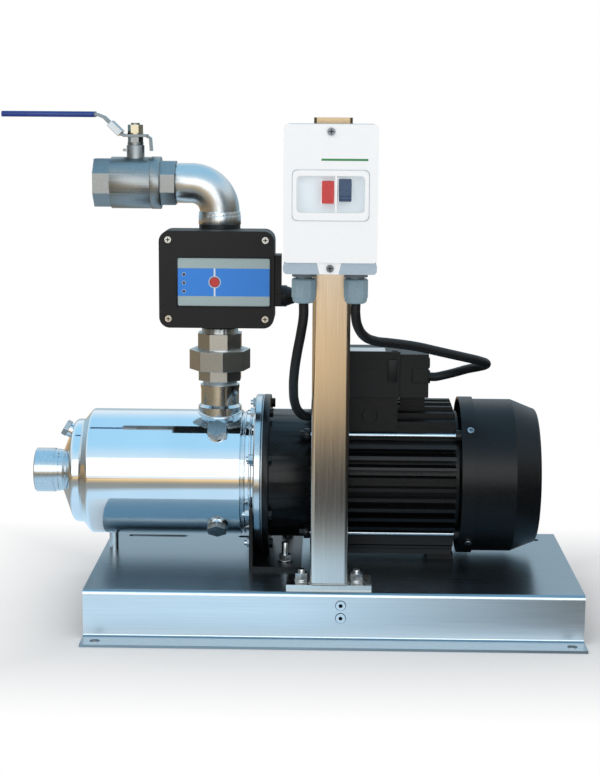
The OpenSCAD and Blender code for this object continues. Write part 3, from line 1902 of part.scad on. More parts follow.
base_plate();
base_fasteners();
mast();
base_supports();
pump_foot();
pump_casing();
casing_sockets();
casing_plugs();
casing_flange();
seal_plate();
seal_rings();
flange_bolts();
stage_diffusers();
impellers();
rotor_shaft();
seal_head();
motor_bracket();
motor_frame();
rear_shield();
tie_rods();
stator_core();
stator_windings();
rotor_core();
bearing_outer_rings();
bearing_inner_sets();
cooling_fan();
fan_cover();
terminal_box();
terminal_lid();
terminal_block();
cable_entry_box();
cover_screws();
union_tailpiece();
union_nut();
union_head();
controller_body();
controller_cover();
controller_panel();
controller_connector();
reset_button();
check_poppet();
poppet_spring();
elbow();
valve_body();
valve_end();
valve_ball();
valve_seats();
valve_stem();
lever();
lever_grip();
lever_lock();
enclosure_base();
enclosure_cover();
enclosure_window();
protector_module();
stop_button();
start_button();
enclosure_glands();
control_cable();
motor_cable();
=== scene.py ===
import math

import bmesh
import bpy
from mathutils import Matrix, Vector


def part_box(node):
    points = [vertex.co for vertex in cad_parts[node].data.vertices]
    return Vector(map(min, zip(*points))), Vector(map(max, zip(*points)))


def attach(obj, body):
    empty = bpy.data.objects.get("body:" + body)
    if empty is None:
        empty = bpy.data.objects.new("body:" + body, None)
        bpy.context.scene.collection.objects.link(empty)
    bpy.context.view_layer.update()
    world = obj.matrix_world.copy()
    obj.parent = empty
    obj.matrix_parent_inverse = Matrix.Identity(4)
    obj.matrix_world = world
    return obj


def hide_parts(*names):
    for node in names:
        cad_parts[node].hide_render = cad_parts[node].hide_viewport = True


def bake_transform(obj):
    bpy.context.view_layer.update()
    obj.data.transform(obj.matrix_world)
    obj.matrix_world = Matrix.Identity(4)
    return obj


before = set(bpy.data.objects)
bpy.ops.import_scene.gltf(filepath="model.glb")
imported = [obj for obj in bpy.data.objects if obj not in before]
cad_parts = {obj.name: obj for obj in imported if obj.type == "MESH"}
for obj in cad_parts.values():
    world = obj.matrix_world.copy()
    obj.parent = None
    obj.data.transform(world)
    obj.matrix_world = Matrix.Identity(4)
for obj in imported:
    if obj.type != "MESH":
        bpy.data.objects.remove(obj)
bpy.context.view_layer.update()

# Camera
# It stands 1.8 m in front of the set and a little above it, and looks slightly down. Its place and
# lens were solved from the corners of the base in the photo.
eye = Vector((-0.0051, -1.7926, 0.5656))
pitch = math.radians(9.83)
yaw = math.radians(-1.109)
roll = math.radians(0.399)
ahead = Vector((math.sin(yaw) * math.cos(pitch), math.cos(yaw) * math.cos(pitch), -math.sin(pitch)))
right = Vector((math.cos(yaw), -math.sin(yaw), 0))
up = right.cross(ahead)
right, up = (
    math.cos(roll) * right + math.sin(roll) * up,
    math.cos(roll) * up - math.sin(roll) * right,
)
view_rows = [[right[i], up[i], -ahead[i], eye[i]] for i in range(3)]
camera = bpy.data.objects.new("camera", bpy.data.cameras.new("camera"))
camera.matrix_world = Matrix(view_rows + [[0, 0, 0, 1]])
focal_px, photo_height_px = 1608.2, 775
sensor_mm = 36
camera.data.sensor_width = sensor_mm
camera.data.lens = sensor_mm * focal_px / photo_height_px
bpy.context.scene.collection.objects.link(camera)
bpy.context.scene.camera = camera


# Cables
# Two round flexes with a black rubber sheath, 10 mm thick. One runs from the left gland of the
# switch behind the mast to the controller, the other from the right gland to the motor.
def linear(code):
    channels = [int(code[at : at + 2], 16) / 255 for at in (1, 3, 5)]
    return [c / 12.92 if c <= 0.04045 else ((c + 0.055) / 1.055) ** 2.4 for c in channels] + [1]


def add(tree, kind, feeds, **settings):
    node = tree.nodes.new(kind)
    for name, value in settings.items():
        setattr(node, name, value)
    for socket, source in feeds.items():
        if isinstance(source, bpy.types.NodeSocket):
            tree.links.new(source, node.inputs[socket])
        else:
            node.inputs[socket].default_value = source
    return node


def ramp(tree, value, begin=0, end=1, low=0, high=1):
    feeds = {"Value": value, "From Min": begin, "From Max": end, "To Min": low, "To Max": high}
    return add(tree, "ShaderNodeMapRange", feeds).outputs[0]


def mixed(tree, share, one, other):
    feeds = {0: share, 6: one, 7: other}
    return add(tree, "ShaderNodeMix", feeds, data_type="RGBA").outputs[2]


def start(name):
    made = bpy.data.materials.new(name)
    made.use_nodes = True
    tree = made.node_tree
    place = add(tree, "ShaderNodeTexCoord", {}).outputs["Object"]
    return made, tree, tree.nodes["Principled BSDF"], place


# One grained surface: a noise of the real grain, stretched where the tool ran one way, moves the
# colour between two tones, the roughness by a swing, and dents the surface by a depth in metres.
def surface(name, tones, metal, rough, swing, grain, depth, run=(1, 1, 1), shine=0.5):
    made, tree, shader, place = start(name)
    scale = [1 / (grain * stretch) for stretch in run]
    laid = add(tree, "ShaderNodeMapping", {"Vector": place, "Scale": scale}).outputs[0]
    noise = add(tree, "ShaderNodeTexNoise", {"Vector": laid, "Scale": 1, "Detail": 2}).outputs[0]
    level = ramp(tree, noise, 0.25, 0.75)
    tone = mixed(tree, level, linear(tones[0]), linear(tones[1]))
    gloss = ramp(tree, level, low=rough - swing, high=rough + swing)
    dents = add(tree, "ShaderNodeBump", {"Height": level, "Distance": depth, "Strength": 1})
    shader.inputs["Metallic"].default_value = metal
    shader.inputs["Specular IOR Level"].default_value = shine
    tree.links.new(tone, shader.inputs["Base Color"])
    tree.links.new(gloss, shader.inputs["Roughness"])
    tree.links.new(dents.outputs[0], shader.inputs["Normal"])
    return made


def piece(name, data, material, body):
    obj = bpy.data.objects.new(name, data)
    obj.data.materials.append(material)
    bpy.context.scene.collection.objects.link(obj)
    if body:
        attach(obj, body)
    return obj


# The extruded sheath is matt with a faint drawn grain, so it shows one soft light along its top.
rubber_sheath = surface(
    "rubber sheath, extruded", ("#0d0e10", "#15171a"),
    metal=0, rough=0.5, swing=0.06, grain=0.002, depth=0.00003, shine=0.35,
)
cable_d = 0.010
# The routes are in millimetres.
cable_routes = {
    "control_cable": [
        (-33.5, -164, 371), (-33.5, -164, 358), (-36, -163, 340), (-40, -158, 318),
        (-43, -148, 296), (-44, -134, 276), (-43, -117, 259), (-39, -99, 246),
        (-32, -82, 238), (-23, -67, 237), (-14, -55, 243), (-7, -47, 256),
        (-3, -41, 273), (-1, -36, 292), (-1, -30, 311), (-4, -21, 329),
        (-11, -11, 344), (-21, -4, 354), (-32, 0, 359), (-40, 0, 359), (-46.4, 0, 359),
    ],
    "motor_cable": [
        (19.5, -164, 371), (19.5, -164, 360), (22, -161, 347), (29, -155, 336),
        (40, -147, 330), (54, -138, 327), (70, -129, 324), (88, -120, 320),
        (106, -112, 315), (124, -104, 310), (141, -94, 305), (155, -81, 300),
        (163, -64, 295), (164, -46, 290), (158, -28, 285), (147, -13, 280),
        (134, -1, 274), (122, 4, 270), (113, 5, 268), (107.1, 5, 268),
    ],
}
for node, route in cable_routes.items():
    points = [Vector(p) / 1000 for p in route]
    curve = bpy.data.curves.new(node, "CURVE")
    curve.dimensions = "3D"
    curve.bevel_depth = cable_d / 2
    curve.bevel_resolution = 6
    curve.use_fill_caps = True
    spline = curve.splines.new("BEZIER")
    spline.bezier_points.add(len(points) - 1)
    for knot, point in zip(spline.bezier_points, points):
        knot.co = point
        knot.handle_left_type = knot.handle_right_type = "AUTO"
    cable = piece(node + "_sheath", curve, rubber_sheath, "set")
    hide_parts(node)


# Base plate
# A tray folded from 3 mm stainless sheet, brushed along its length, with two foot flanges that are
# bolted to the floor.
def dress(node, material, edge=0, other=None, where=None):
    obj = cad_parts[node]
    obj.data.materials.clear()
    obj.data.materials.append(material)
    if other:
        obj.data.materials.append(other)
        for face in obj.data.polygons:
            face.material_index = 1 if where(face.center) else 0
    if edge:
        weld = obj.modifiers.new("weld", "WELD")
        weld.merge_threshold = 0.00001
        flat = obj.modifiers.new("flat", "DECIMATE")
        flat.decimate_type = "DISSOLVE"
        flat.angle_limit = math.radians(0.5)
        soft = obj.modifiers.new("edge", "BEVEL")
        soft.width = edge
        soft.segments = 2
        soft.limit_method = "ANGLE"
        soft.angle_limit = math.radians(35)
        soft.harden_normals = True
    return obj


# Belt brushing leaves fine lines one way, drawn here about 1 mm wide: the sheet shines in streaks.
# The top's tone is drawn darker than bare stainless: painted shade.
brushed_sheet = surface(
    "stainless sheet, brushed lengthways", ("#87969f", "#93a2ab"),
    metal=1, rough=0.3, swing=0.04, grain=0.0012, depth=0.000002, run=(80, 1, 1),
)
# The folded front is the same sheet drawn paler, with a wider sheen: painted light, where the front
# faces more light than the top.
brushed_front = surface(
    "stainless sheet, brushed, front painted paler", ("#d6e0e6", "#dfe8ed"),
    metal=1, rough=0.36, swing=0.04, grain=0.0012, depth=0.000002, run=(80, 1, 1),
)
web_y, web_foot, web_top = -0.129, 0.004, 0.0525
dress(
    "base_plate", brushed_sheet, other=brushed_front,
    where=lambda at: at.y < web_y and web_foot < at.z < web_top,
)


# Fasteners of the base
# Zinc-plated bolts, nuts and washers hold the mast's foot and the pump's foot to the base; two
# threaded inserts in the front web take an earth wire.
def bead(points, radius):
    curve = bpy.data.curves.new("bead", "CURVE")
    curve.dimensions = "3D"
    curve.bevel_depth = radius
    curve.bevel_resolution = 3
    spline = curve.splines.new("POLY")
    spline.points.add(len(points) - 1)
    spline.use_cyclic_u = True
    for knot, point in zip(spline.points, points):
        knot.co = (*point, 1)
    return curve


# Bright zinc is smooth and faintly blue, and it dulls a little in patches.
zinc = surface(
    "steel, zinc plated", ("#b4babf", "#cdd2d5"),
    metal=1, rough=0.24, swing=0.05, grain=0.004, depth=0.000002,
)
# The inserts were turned from stainless bar and stay brighter.
insert_steel = surface(
    "stainless insert, turned", ("#e1e6e9", "#ebeff1"),
    metal=1, rough=0.2, swing=0.03, grain=0.002, depth=0.000002,
)
insert_y = -0.1301
dress("base_fasteners", zinc, 0.0006, insert_steel, lambda at: at.y < insert_y)
# Moulded rubber is matt and nearly black. A thin ring of it round each insert is painted shadow
# of the insert's flange edge.
pad_rubber = surface(
    "rubber, moulded", ("#131415", "#1b1d1e"),
    metal=0, rough=0.7, swing=0.08, grain=0.002, depth=0.00005, shine=0.3,
)
around = [math.tau * step / 96 for step in range(96)]
insert_x, seal_r, seal_wire_r = 0.008, 0.0054, 0.0004
# The rings below are painted shadow round the inserts' flanges.
for number, insert_z in enumerate((0.040, 0.026)):
    seal = [
        (insert_x + seal_r * math.cos(t), insert_y, insert_z + seal_r * math.sin(t))
        for t in around
    ]
    piece(f"insert_flange_shadow_{number}", bead(seal, seal_wire_r), pad_rubber, "set")


# Mast
# A 40 mm square tube of stainless steel, brushed along its length and welded to a foot plate that
# is bolted to the base. A cap is welded on its top.
def rounded(half_a, half_b, corner):
    quarters = [(1, 1, 0), (-1, 1, 90), (-1, -1, 180), (1, -1, 270)]
    return [
        (
            side_a * (half_a - corner) + corner * math.cos(math.radians(first + step)),
            side_b * (half_b - corner) + corner * math.sin(math.radians(first + step)),
        )
        for side_a, side_b, first in quarters
        for step in (0, 30, 60, 90)
    ]


# The drawn brushing runs up the tube, so its highlights stretch across it.
brushed_tube = surface(
    "stainless tube, brushed lengthways", ("#d6d4cf", "#dfddd8"),
    metal=1, rough=0.17, swing=0.02, grain=0.0012, depth=0.000001, run=(1, 1, 80),
)
# The heat of welding the cap leaves a straw-brown tint on the last few millimetres of the tube.
tint_z, full_tint_z = 0.541, 0.551
tree = brushed_tube.node_tree
shader = tree.nodes["Principled BSDF"]
place = tree.nodes["Texture Coordinate"].outputs["Object"]
brushed_tone = shader.inputs["Base Color"].links[0].from_socket
axes = add(tree, "ShaderNodeSeparateXYZ", {"Vector": place})
heat = ramp(tree, axes.outputs["Z"], tint_z, full_tint_z)
straw = mixed(tree, heat, brushed_tone, linear("#a08d70"))
tree.links.new(straw, shader.inputs["Base Color"])
# The cap was ground flat, which leaves it duller.
ground_cap = surface(
    "stainless cap, welded and ground", ("#8a8173", "#988f80"),
    metal=1, rough=0.4, swing=0.04, grain=0.002, depth=0.00001,
)
cap_z = 0.5565
dress("mast", brushed_tube, other=ground_cap, where=lambda at: at.z > cap_z)
# Weld metal is rippled and duller than the tube.
weld_metal = surface(
    "stainless weld, brushed off", ("#8f8d89", "#aeaca8"),
    metal=1, rough=0.38, swing=0.08, grain=0.003, depth=0.0001,
)
mast_centre = Vector((-0.005, -0.1005, 0.0605))
mast_half, mast_corner = 0.0205, 0.004
foot_line = [mast_centre + Vector((a, b, 0)) for a, b in rounded(mast_half, mast_half, mast_corner)]
weld_bead_r = 0.0013
piece("mast_weld", bead(foot_line, weld_bead_r), weld_metal, "set")

# Supports under the pump and the motor
# A turned stud stands under the sleeve and a moulded rubber pad under the motor, both on the base.
# Turning and polishing give a bright face with a slightly softer reflection than sheet.
turned = surface(
    "stainless bar, turned and polished", ("#bcc5ca", "#cad2d7"),
    metal=1, rough=0.18, swing=0.02, grain=0.003, depth=0.000001,
)
motor_side_x = -0.1
dress("base_supports", turned, other=pad_rubber, where=lambda at: at.x > motor_side_x)

# Pump foot
# A bent steel angle, painted black, clamped by the lower flange bolts and bolted to the base.
# Black paint on steel: satin, with a slight orange peel of about 2 mm.
black_paint = surface(
    "steel, painted black", ("#0b0c0d", "#131516"),
    metal=0, rough=0.32, swing=0.06, grain=0.002, depth=0.00002, shine=0.3,
)
dress("pump_foot", black_paint)

# Pump casing
# A deep-drawn stainless can, polished to a mirror, with a stepped domed end and a neck that is
# clamped behind the flange. Two rolled beads stiffen the neck.
# Polished sheet keeps long shallow waves from drawing, which bend the reflections a little.
polished = surface(
    "stainless sheet, deep drawn and polished", ("#dce2e6", "#e3e8eb"),
    metal=1, rough=0.06, swing=0.01, grain=0.05, depth=0.00002,
)
dress("pump_casing", polished)
axis_y, axis_z = 0.038, 0.148
neck_r, roll_r = 0.0697, 0.0018
for number, neck_x in enumerate((-0.1025, -0.0955)):
    line = [(neck_x, axis_y + neck_r * math.cos(t), axis_z + neck_r * math.sin(t)) for t in around]
    piece(f"neck_bead_{number}", bead(line, roll_r), polished, "set")

# Sockets of the casing
# Turned stainless sockets with pipe thread for the suction and the discharge, welded into the can
# and polished with it. The welds show as low rounded beads.
dress("casing_sockets", turned)
sleeve_r, saddle_r = 0.0725, 0.0252
discharge_x = -0.133
saddle = [
    (
        discharge_x + saddle_r * math.cos(t),
        axis_y + saddle_r * math.sin(t),
        axis_z + math.sqrt(sleeve_r**2 - (saddle_r * math.sin(t)) ** 2),
    )
    for t in around
]
piece("discharge_weld", bead(saddle, weld_bead_r), polished, "set")
suction_x, suction_r, suction_bead_r = -0.3135, 0.0245, 0.0012
suction_line = [
    (suction_x, axis_y + suction_r * math.cos(t), axis_z + suction_r * math.sin(t)) for t in around
]
piece("suction_weld", bead(suction_line, suction_bead_r), polished, "set")

# Plugs of the casing
# Three hexagon plugs of stainless bar, screwed into the can: filling, draining and venting.
# Milled flats are duller than the polished can.
milled = surface(
    "stainless bar, milled", ("#a3a9ac", "#b3b8bb"),
    metal=1, rough=0.3, swing=0.04, grain=0.002, depth=0.000002,
)
dress("casing_plugs", milled, 0.0006)

# Flange, seal plate and their fasteners
# A polished steel ring behind the neck is drawn to the motor bracket by eight bolts. Their heads
# were painted with the bracket, their nuts are zinc plated.
dress("casing_flange", turned)
# Pressed steel inside the pump is pickled: grey and even.
pickled = surface(
    "stainless sheet, pressed and pickled", ("#9aa0a4", "#aeb4b7"),
    metal=1, rough=0.36, swing=0.05, grain=0.003, depth=0.00001,
)
dress("seal_plate", pickled)
dress("seal_rings", pad_rubber)
bracket_face_x = -0.0815
dress("flange_bolts", zinc, other=black_paint, where=lambda at: at.x > bracket_face_x)

# Pump stages
# Moulded diffusers and pressed impellers, stacked on the shaft inside the can.
# Glass-filled plastic is even and slightly rough.
stage_plastic = surface(
    "glass-filled plastic, moulded", ("#c9c1a8", "#d6cfb8"),
    metal=0, rough=0.5, swing=0.06, grain=0.002, depth=0.00003,
)
dress("stage_diffusers", stage_plastic)
dress("impellers", pickled)

# Shaft and seal
# A ground stainless shaft, common to pump and motor, with the rotating head of the shaft seal.
# Grinding leaves fine rings round the shaft.
ground_bar = surface(
    "steel bar, ground", ("#b2b7ba", "#c6cacc"),
    metal=1, rough=0.2, swing=0.04, grain=0.001, depth=0.000002, run=(1, 20, 20),
)
dress("rotor_shaft", ground_bar)
dress("seal_head", pad_rubber)

# Motor bracket
# A cast iron barrel with a flange and four ears, enamelled black, that joins the pump to the motor.
# Gloss enamel over a casting: deep black, with the casting's soft waves about 8 mm long.
gloss_enamel = surface(
    "cast iron, gloss black enamel", ("#090a0b", "#0e1012"),
    metal=0, rough=0.3, swing=0.04, grain=0.008, depth=0.00001, shine=0.3,
)
dress("motor_bracket", gloss_enamel, 0.0008)

# Motor frame and rear shield
# A die-cast aluminium frame with fins and a bearing shield, both enamelled black.
# Satin enamel over a die casting: black with a dull sheen on the fins.
satin_enamel = surface(
    "die-cast aluminium, satin black enamel", ("#0a0b0c", "#121416"),
    metal=0, rough=0.38, swing=0.06, grain=0.003, depth=0.00003, shine=0.3,
)
dress("motor_frame", satin_enamel)
dress("rear_shield", satin_enamel)

# Tie rods
# Four bright steel rods clamp the frame between the bracket and the rear shield. Their heads were
# painted with the bracket.
rod_head_x = -0.0335
dress("tie_rods", turned, other=black_paint, where=lambda at: at.x < rod_head_x)

# Stator and rotor
# Stacks of stamped laminations, the stator's with lacquered copper windings in it.
# Stamped edges show as fine rings along the stack, drawn 1 mm apart, coarser than the real 0.5 mm.
laminations = surface(
    "steel laminations, stacked", ("#5c6062", "#7b7f81"),
    metal=1, rough=0.45, swing=0.08, grain=0.001, depth=0.00005, run=(1, 40, 40),
)
dress("stator_core", laminations)
dress("rotor_core", laminations)
# Lacquered wire is warm and shiny, in strands about 1 mm thick.
copper = surface(
    "copper wire, wound and lacquered", ("#7c3c20", "#b4683c"),
    metal=1, rough=0.32, swing=0.08, grain=0.001, depth=0.0002, run=(8, 1, 8),
)
dress("stator_windings", copper)

# Bearings
# Two ball bearings of hardened steel carry the shaft in the bracket and the rear shield.
# Honed steel is bright and even.
bearing_steel = surface(
    "bearing steel, ground and honed", ("#b5babd", "#c4c8ca"),
    metal=1, rough=0.14, swing=0.03, grain=0.002, depth=0.000001,
)
dress("bearing_outer_rings", bearing_steel)
dress("bearing_inner_sets", bearing_steel)

# Fan and its cover
# A moulded plastic fan on the shaft, under a pressed steel cover with a grille, painted black.
# Moulded plastic with a fine spark-eroded grain, drawn 1.5 mm coarse: dark, with a dull sheen.
black_plastic = surface(
    "plastic, moulded black", ("#0d0e0f", "#151718"),
    metal=0, rough=0.45, swing=0.06, grain=0.0015, depth=0.00003, shine=0.3,
)
dress("cooling_fan", black_plastic)
# Satin black paint on a pressing takes broad bluish lights.
cover_paint = surface(
    "steel sheet, satin black paint", ("#0a0c0e", "#0f1215"),
    metal=0, rough=0.36, swing=0.04, grain=0.004, depth=0.00002, shine=0.26,
)
dress("fan_cover", cover_paint)


# Terminal box
# A moulded box with a lid and a cable entry box, screwed to the frame, with a terminal block in it.
# A spring clip holds the lid, a blank plate is riveted on it, and a knock-out is moulded below.
def solid(shape):
    mesh = bpy.data.meshes.new("piece")
    bmesh.ops.recalc_face_normals(shape, faces=shape.faces)
    shape.to_mesh(mesh)
    shape.free()
    mesh.shade_smooth()
    mesh.set_sharp_from_angle(angle=math.radians(35))
    return mesh


def block(low, high, edge):
    shape = bmesh.new()
    low, high = Vector(low), Vector(high)
    place = Matrix.Translation((low + high) / 2) @ Matrix.Diagonal((*(high - low), 1))
    bmesh.ops.create_cube(shape, size=1, matrix=place)
    bmesh.ops.bevel(
        shape, geom=shape.edges[:], offset=edge, segments=2, profile=0.5, affect="EDGES"
    )
    return solid(shape)


dress("terminal_box", black_plastic, 0.001)
dress("terminal_lid", black_plastic, 0.0025)
dress("terminal_block", stage_plastic)
dress("cable_entry_box", black_plastic, 0.0015)
# Painted plate: pale, flat and satin.
plate_paint = surface(
    "aluminium plate, painted", ("#cddbe3", "#d8e4ea"),
    metal=0, rough=0.4, swing=0.04, grain=0.002, depth=0.00001,
)
plate = block((0.004, -0.019, 0.2998), (0.0555, 0.006, 0.3004), edge=0.0001)
piece("lid_plate", plate, plate_paint, "set")
clip = block((0.0585, -0.0245, 0.266), (0.0685, -0.0215, 0.2915), edge=0.0008)
piece("lid_clip", clip, black_plastic, "set")
knock_x, knock_y, knock_z = 0.039, -0.020, 0.228
knock_r, knock_bead_r = 0.0086, 0.0006
knock_line = [
    (knock_x + knock_r * math.cos(t), knock_y, knock_z + knock_r * math.sin(t)) for t in around
]
piece("knock_out", bead(knock_line, knock_bead_r), satin_enamel, "set")

# Union
# Three cast stainless pieces: a tailpiece in the discharge socket, a nut, and a head that is
# screwed into the controller.
# Investment casting leaves a fine sandy skin, drawn 1.5 mm coarse: satin grey with a sparkle.
union_skin = surface(
    "stainless steel, investment cast", ("#acb0b0", "#bcc0c0"),
    metal=1, rough=0.32, swing=0.04, grain=0.0015, depth=0.00001,
)
dress("union_tailpiece", union_skin, 0.0008)
dress("union_nut", union_skin, 0.0012)
dress("union_head", union_skin, 0.0008)

# Flow controller
# A glass-filled plastic body with the water passage in it, and a screwed front cover with the label
# in a shallow recess. A wiring box with a gland sits on its right side.
dress("controller_body", black_plastic, 0.0015)
dress("controller_cover", black_plastic, 0.002)
dress("controller_connector", black_plastic, 0.001)


# Label panel
# A polyester film printed on its back: a blue band between two grey ones and a pale line over it.
# The moulded lip of its recess stands round it.
def maths(tree, operation, *values, clamp=False):
    feeds = dict(enumerate(values))
    return add(tree, "ShaderNodeMath", feeds, operation=operation, use_clamp=clamp).outputs[0]


# The film is smooth and evenly satin, so the print shows clearly.
panel_film, tree, shader, place = start("polyester film, printed")
axes = add(tree, "ShaderNodeSeparateXYZ", {"Vector": place})
noise = add(tree, "ShaderNodeTexNoise", {"Vector": place, "Scale": 400}).outputs[0]
band_middle, band_half = 0.3753, 0.0155
line_x, line_half = -0.1351, 0.0009
in_band = maths(tree, "COMPARE", axes.outputs["Z"], band_middle, band_half)
on_line = maths(tree, "COMPARE", axes.outputs["X"], line_x, line_half)
line_part = maths(tree, "MULTIPLY", in_band, on_line)
grey = mixed(tree, noise, linear("#97abad"), linear("#a3b6b7"))
bands = mixed(tree, in_band, grey, linear("#247fda"))
print_layer = mixed(tree, line_part, bands, linear("#dfe6ea"))
tree.links.new(print_layer, shader.inputs["Base Color"])
shader.inputs["Roughness"].default_value = 0.35
dress("controller_panel", panel_film)
panel_low, panel_high = Vector((-0.1761, 0, 0.3489)), Vector((-0.0739, 0, 0.4021))
lip, lip_front, lip_back = 0.0016, -0.0178, -0.0165
lips = {
    "left": ((panel_low.x - lip, panel_low.z - lip), (panel_low.x, panel_high.z + lip)),
    "right": ((panel_high.x, panel_low.z - lip), (panel_high.x + lip, panel_high.z + lip)),
    "top": ((panel_low.x, panel_high.z), (panel_high.x, panel_high.z + lip)),
    "bottom": ((panel_low.x, panel_low.z - lip), (panel_high.x, panel_low.z)),
}
for side, (low, high) in lips.items():
    bar = block((low[0], lip_front, low[1]), (high[0], lip_back, high[1]), edge=0.0003)
    piece(f"panel_lip_{side}", bar, black_plastic, "set")


# Status lamps
# Three round lamps of smoked plastic in the panel, each inside a pale printed ring.
def spun(outline, centre, axis, steps=48):
    shape = bmesh.new()
    turn = Vector((0, 0, 1)).rotation_difference(Vector(axis))
    rows = []
    for step in range(steps):
        angle = math.tau * step / steps
        spots = [Vector((r * math.cos(angle), r * math.sin(angle), h)) for r, h in outline]
        rows.append([shape.verts.new(Vector(centre) + turn @ spot) for spot in spots])
    for row, following in zip(rows, rows[1:] + rows[:1]):
        for k in range(len(outline)):
            after = (k + 1) % len(outline)
            shape.faces.new((row[k], following[k], following[after], row[after]))
    return solid(shape)


# Lamp lenses are dark, smooth and glossy.
lens_plastic = surface(
    "acrylic, moulded smoked", ("#1a2a3c", "#22344a"),
    metal=0, rough=0.15, swing=0.03, grain=0.002, depth=0.00001,
)
# Ring print is pale and even.
ring_print = surface(
    "film, printed pale", ("#b8c6d2", "#c6d2db"),
    metal=0, rough=0.4, swing=0.04, grain=0.002, depth=0.00001,
)
front = (0, -1, 0)
lamp_x, film_y = -0.1692, -0.0169
lens_outline = [(0.00005, 0), (0.0017, 0), (0.0015, 0.0004), (0.00005, 0.0007)]
lamp_ring = [(0.0017, 0), (0.0021, 0), (0.0021, 0.0002), (0.0017, 0.0002)]
for number, lamp_z in enumerate((0.384, 0.3746, 0.3652)):
    lamp_at = (lamp_x, film_y, lamp_z)
    lens = spun(lens_outline, lamp_at, front)
    piece(f"lamp_lens_{number}", lens, lens_plastic, "set")
    rim = spun(lamp_ring, lamp_at, front)
    piece(f"lamp_ring_{number}", rim, ring_print, "set")

# Reset button
# A round red plastic button that slides in the panel, inside a pale printed ring.
# Glossy moulded plastic, an even red.
red_plastic = surface(
    "plastic, moulded red", ("#b8282a", "#c63836"),
    metal=0, rough=0.35, swing=0.05, grain=0.002, depth=0.00002,
)
dress("reset_button", red_plastic, 0.0006)
reset_outline = [(0.00575, 0), (0.0069, 0), (0.0069, 0.0002), (0.00575, 0.0002)]
reset_ring = spun(reset_outline, (-0.135, film_y, 0.3755), front)
piece("reset_ring", reset_ring, ring_print, "set")


# Check poppet and its spring
# A moulded poppet closes the passage of the controller under a stainless wire spring. The spring's
# lower end stands on the poppet.
def coiled(centre, foot, head, radius, wire_r, turns, steps=32, sides=10):
    shape = bmesh.new()
    count = turns * steps
    rings = []
    for i in range(count + 1):
        turn = math.tau * i / steps
        middle = foot + wire_r + (head - foot - 2 * wire_r) * i / count
        ring = []
        for k in range(sides):
            bend = math.tau * k / sides
            reach = radius + wire_r * math.cos(bend)
            height = middle + wire_r * math.sin(bend)
            spot = Vector((reach * math.cos(turn), reach * math.sin(turn), height))
            ring.append(shape.verts.new(Vector(centre) + spot))
        rings.append(ring)
    for ring, following in zip(rings, rings[1:]):
        for k in range(sides):
            after = (k + 1) % sides
            shape.faces.new((ring[k], ring[after], following[after], following[k]))
    shape.faces.new(rings[0])
    shape.faces.new(rings[-1])
    return solid(shape)


dress("check_poppet", stage_plastic)
# Drawn wire is bright and smooth.
spring_wire = surface(
    "stainless wire, drawn and coiled", ("#b4b8ba", "#cacdce"),
    metal=1, rough=0.22, swing=0.05, grain=0.001, depth=0.000002,
)
spring_foot, spring_head = (corner[2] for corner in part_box("poppet_spring"))
coil_middle = (discharge_x, axis_y, 0)
coil = coiled(coil_middle, spring_foot, spring_head, radius=0.008, wire_r=0.0007, turns=6)
spring = piece("poppet_coil", coil, spring_wire, None)
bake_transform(spring)
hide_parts("poppet_spring")

# Elbow and ball valve
# Investment-cast stainless, screwed together on top of the controller. A ball turns between two
# seat rings, on a stem held by plated nuts.
# Bead blasting after casting leaves the elbow bright and satin.
elbow_skin = surface(
    "stainless steel, cast and blasted", ("#c4c9cb", "#cdd2d4"),
    metal=1, rough=0.3, swing=0.02, grain=0.002, depth=0.000002,
)
dress("elbow", elbow_skin, 0.0008)
# The valve was only pickled, so it stays greyer and rougher.
valve_skin = surface(
    "stainless steel, cast and pickled", ("#8b9091", "#9da1a2"),
    metal=1, rough=0.38, swing=0.04, grain=0.0015, depth=0.00001,
)
dress("valve_body", valve_skin, 0.0008)
dress("valve_end", valve_skin, 0.0008)
dress("valve_ball", turned)
# Sintered seat rings are white and waxy.
seat_plastic = surface(
    "PTFE, sintered and turned", ("#e4e4df", "#efefea"),
    metal=0, rough=0.4, swing=0.05, grain=0.002, depth=0.00001,
)
dress("valve_seats", seat_plastic)
# The stem's nuts have yellow passivation over the zinc, so they look brassy.
yellow_zinc = surface(
    "steel, yellow zinc plated", ("#b3ab93", "#c2baa3"),
    metal=1, rough=0.25, swing=0.05, grain=0.003, depth=0.000002,
)
stem_x, stem_face_r, nut_foot_z = -0.228, 0.0053, 0.5361


def on_nut(at):
    return math.hypot(at.x - stem_x, at.y - axis_y) > stem_face_r and at.z > nut_foot_z


dress("valve_stem", valve_skin, other=yellow_zinc, where=on_nut)

# Lever
# A bent stainless plate on the valve's stem, with a grip dipped in PVC and a sliding lock.
# Tumbled plate is a dark smooth grey, with soft edges and no direction.
tumbled = surface(
    "stainless plate, tumbled", ("#5f6669", "#747b7e"),
    metal=1, rough=0.18, swing=0.03, grain=0.003, depth=0.000004,
)
dress("lever", tumbled, 0.0004)
# The lock was folded from brighter sheet.
folded = surface(
    "stainless sheet, folded", ("#9aa0a3", "#a9afb2"),
    metal=1, rough=0.2, swing=0.03, grain=0.003, depth=0.000002,
)
dress("lever_lock", folded, 0.0004)
# Dipped PVC is thick, glossy and a little wavy.
dipped_pvc = surface(
    "PVC, dipped blue", ("#14307a", "#1a3888"),
    metal=0, rough=0.22, swing=0.04, grain=0.006, depth=0.00006,
)
dress("lever_grip", dipped_pvc, 0.0022)


# Switch enclosure
# A moulded box on the mast: a grey base with a lower band, and a white cover with a clear window
# over the buttons of a motor-protection switch.
def prism(outline, centre, axis, thickness):
    shape = bmesh.new()
    turn = Vector((0, 0, 1)).rotation_difference(Vector(axis))
    ends = [
        [shape.verts.new(Vector(centre) + turn @ Vector((a, b, height))) for a, b in outline]
        for height in (0, thickness)
    ]
    for end in ends:
        shape.faces.new(end)
    for k in range(len(outline)):
        after = (k + 1) % len(outline)
        shape.faces.new((ends[0][k], ends[0][after], ends[1][after], ends[1][k]))
    return solid(shape)


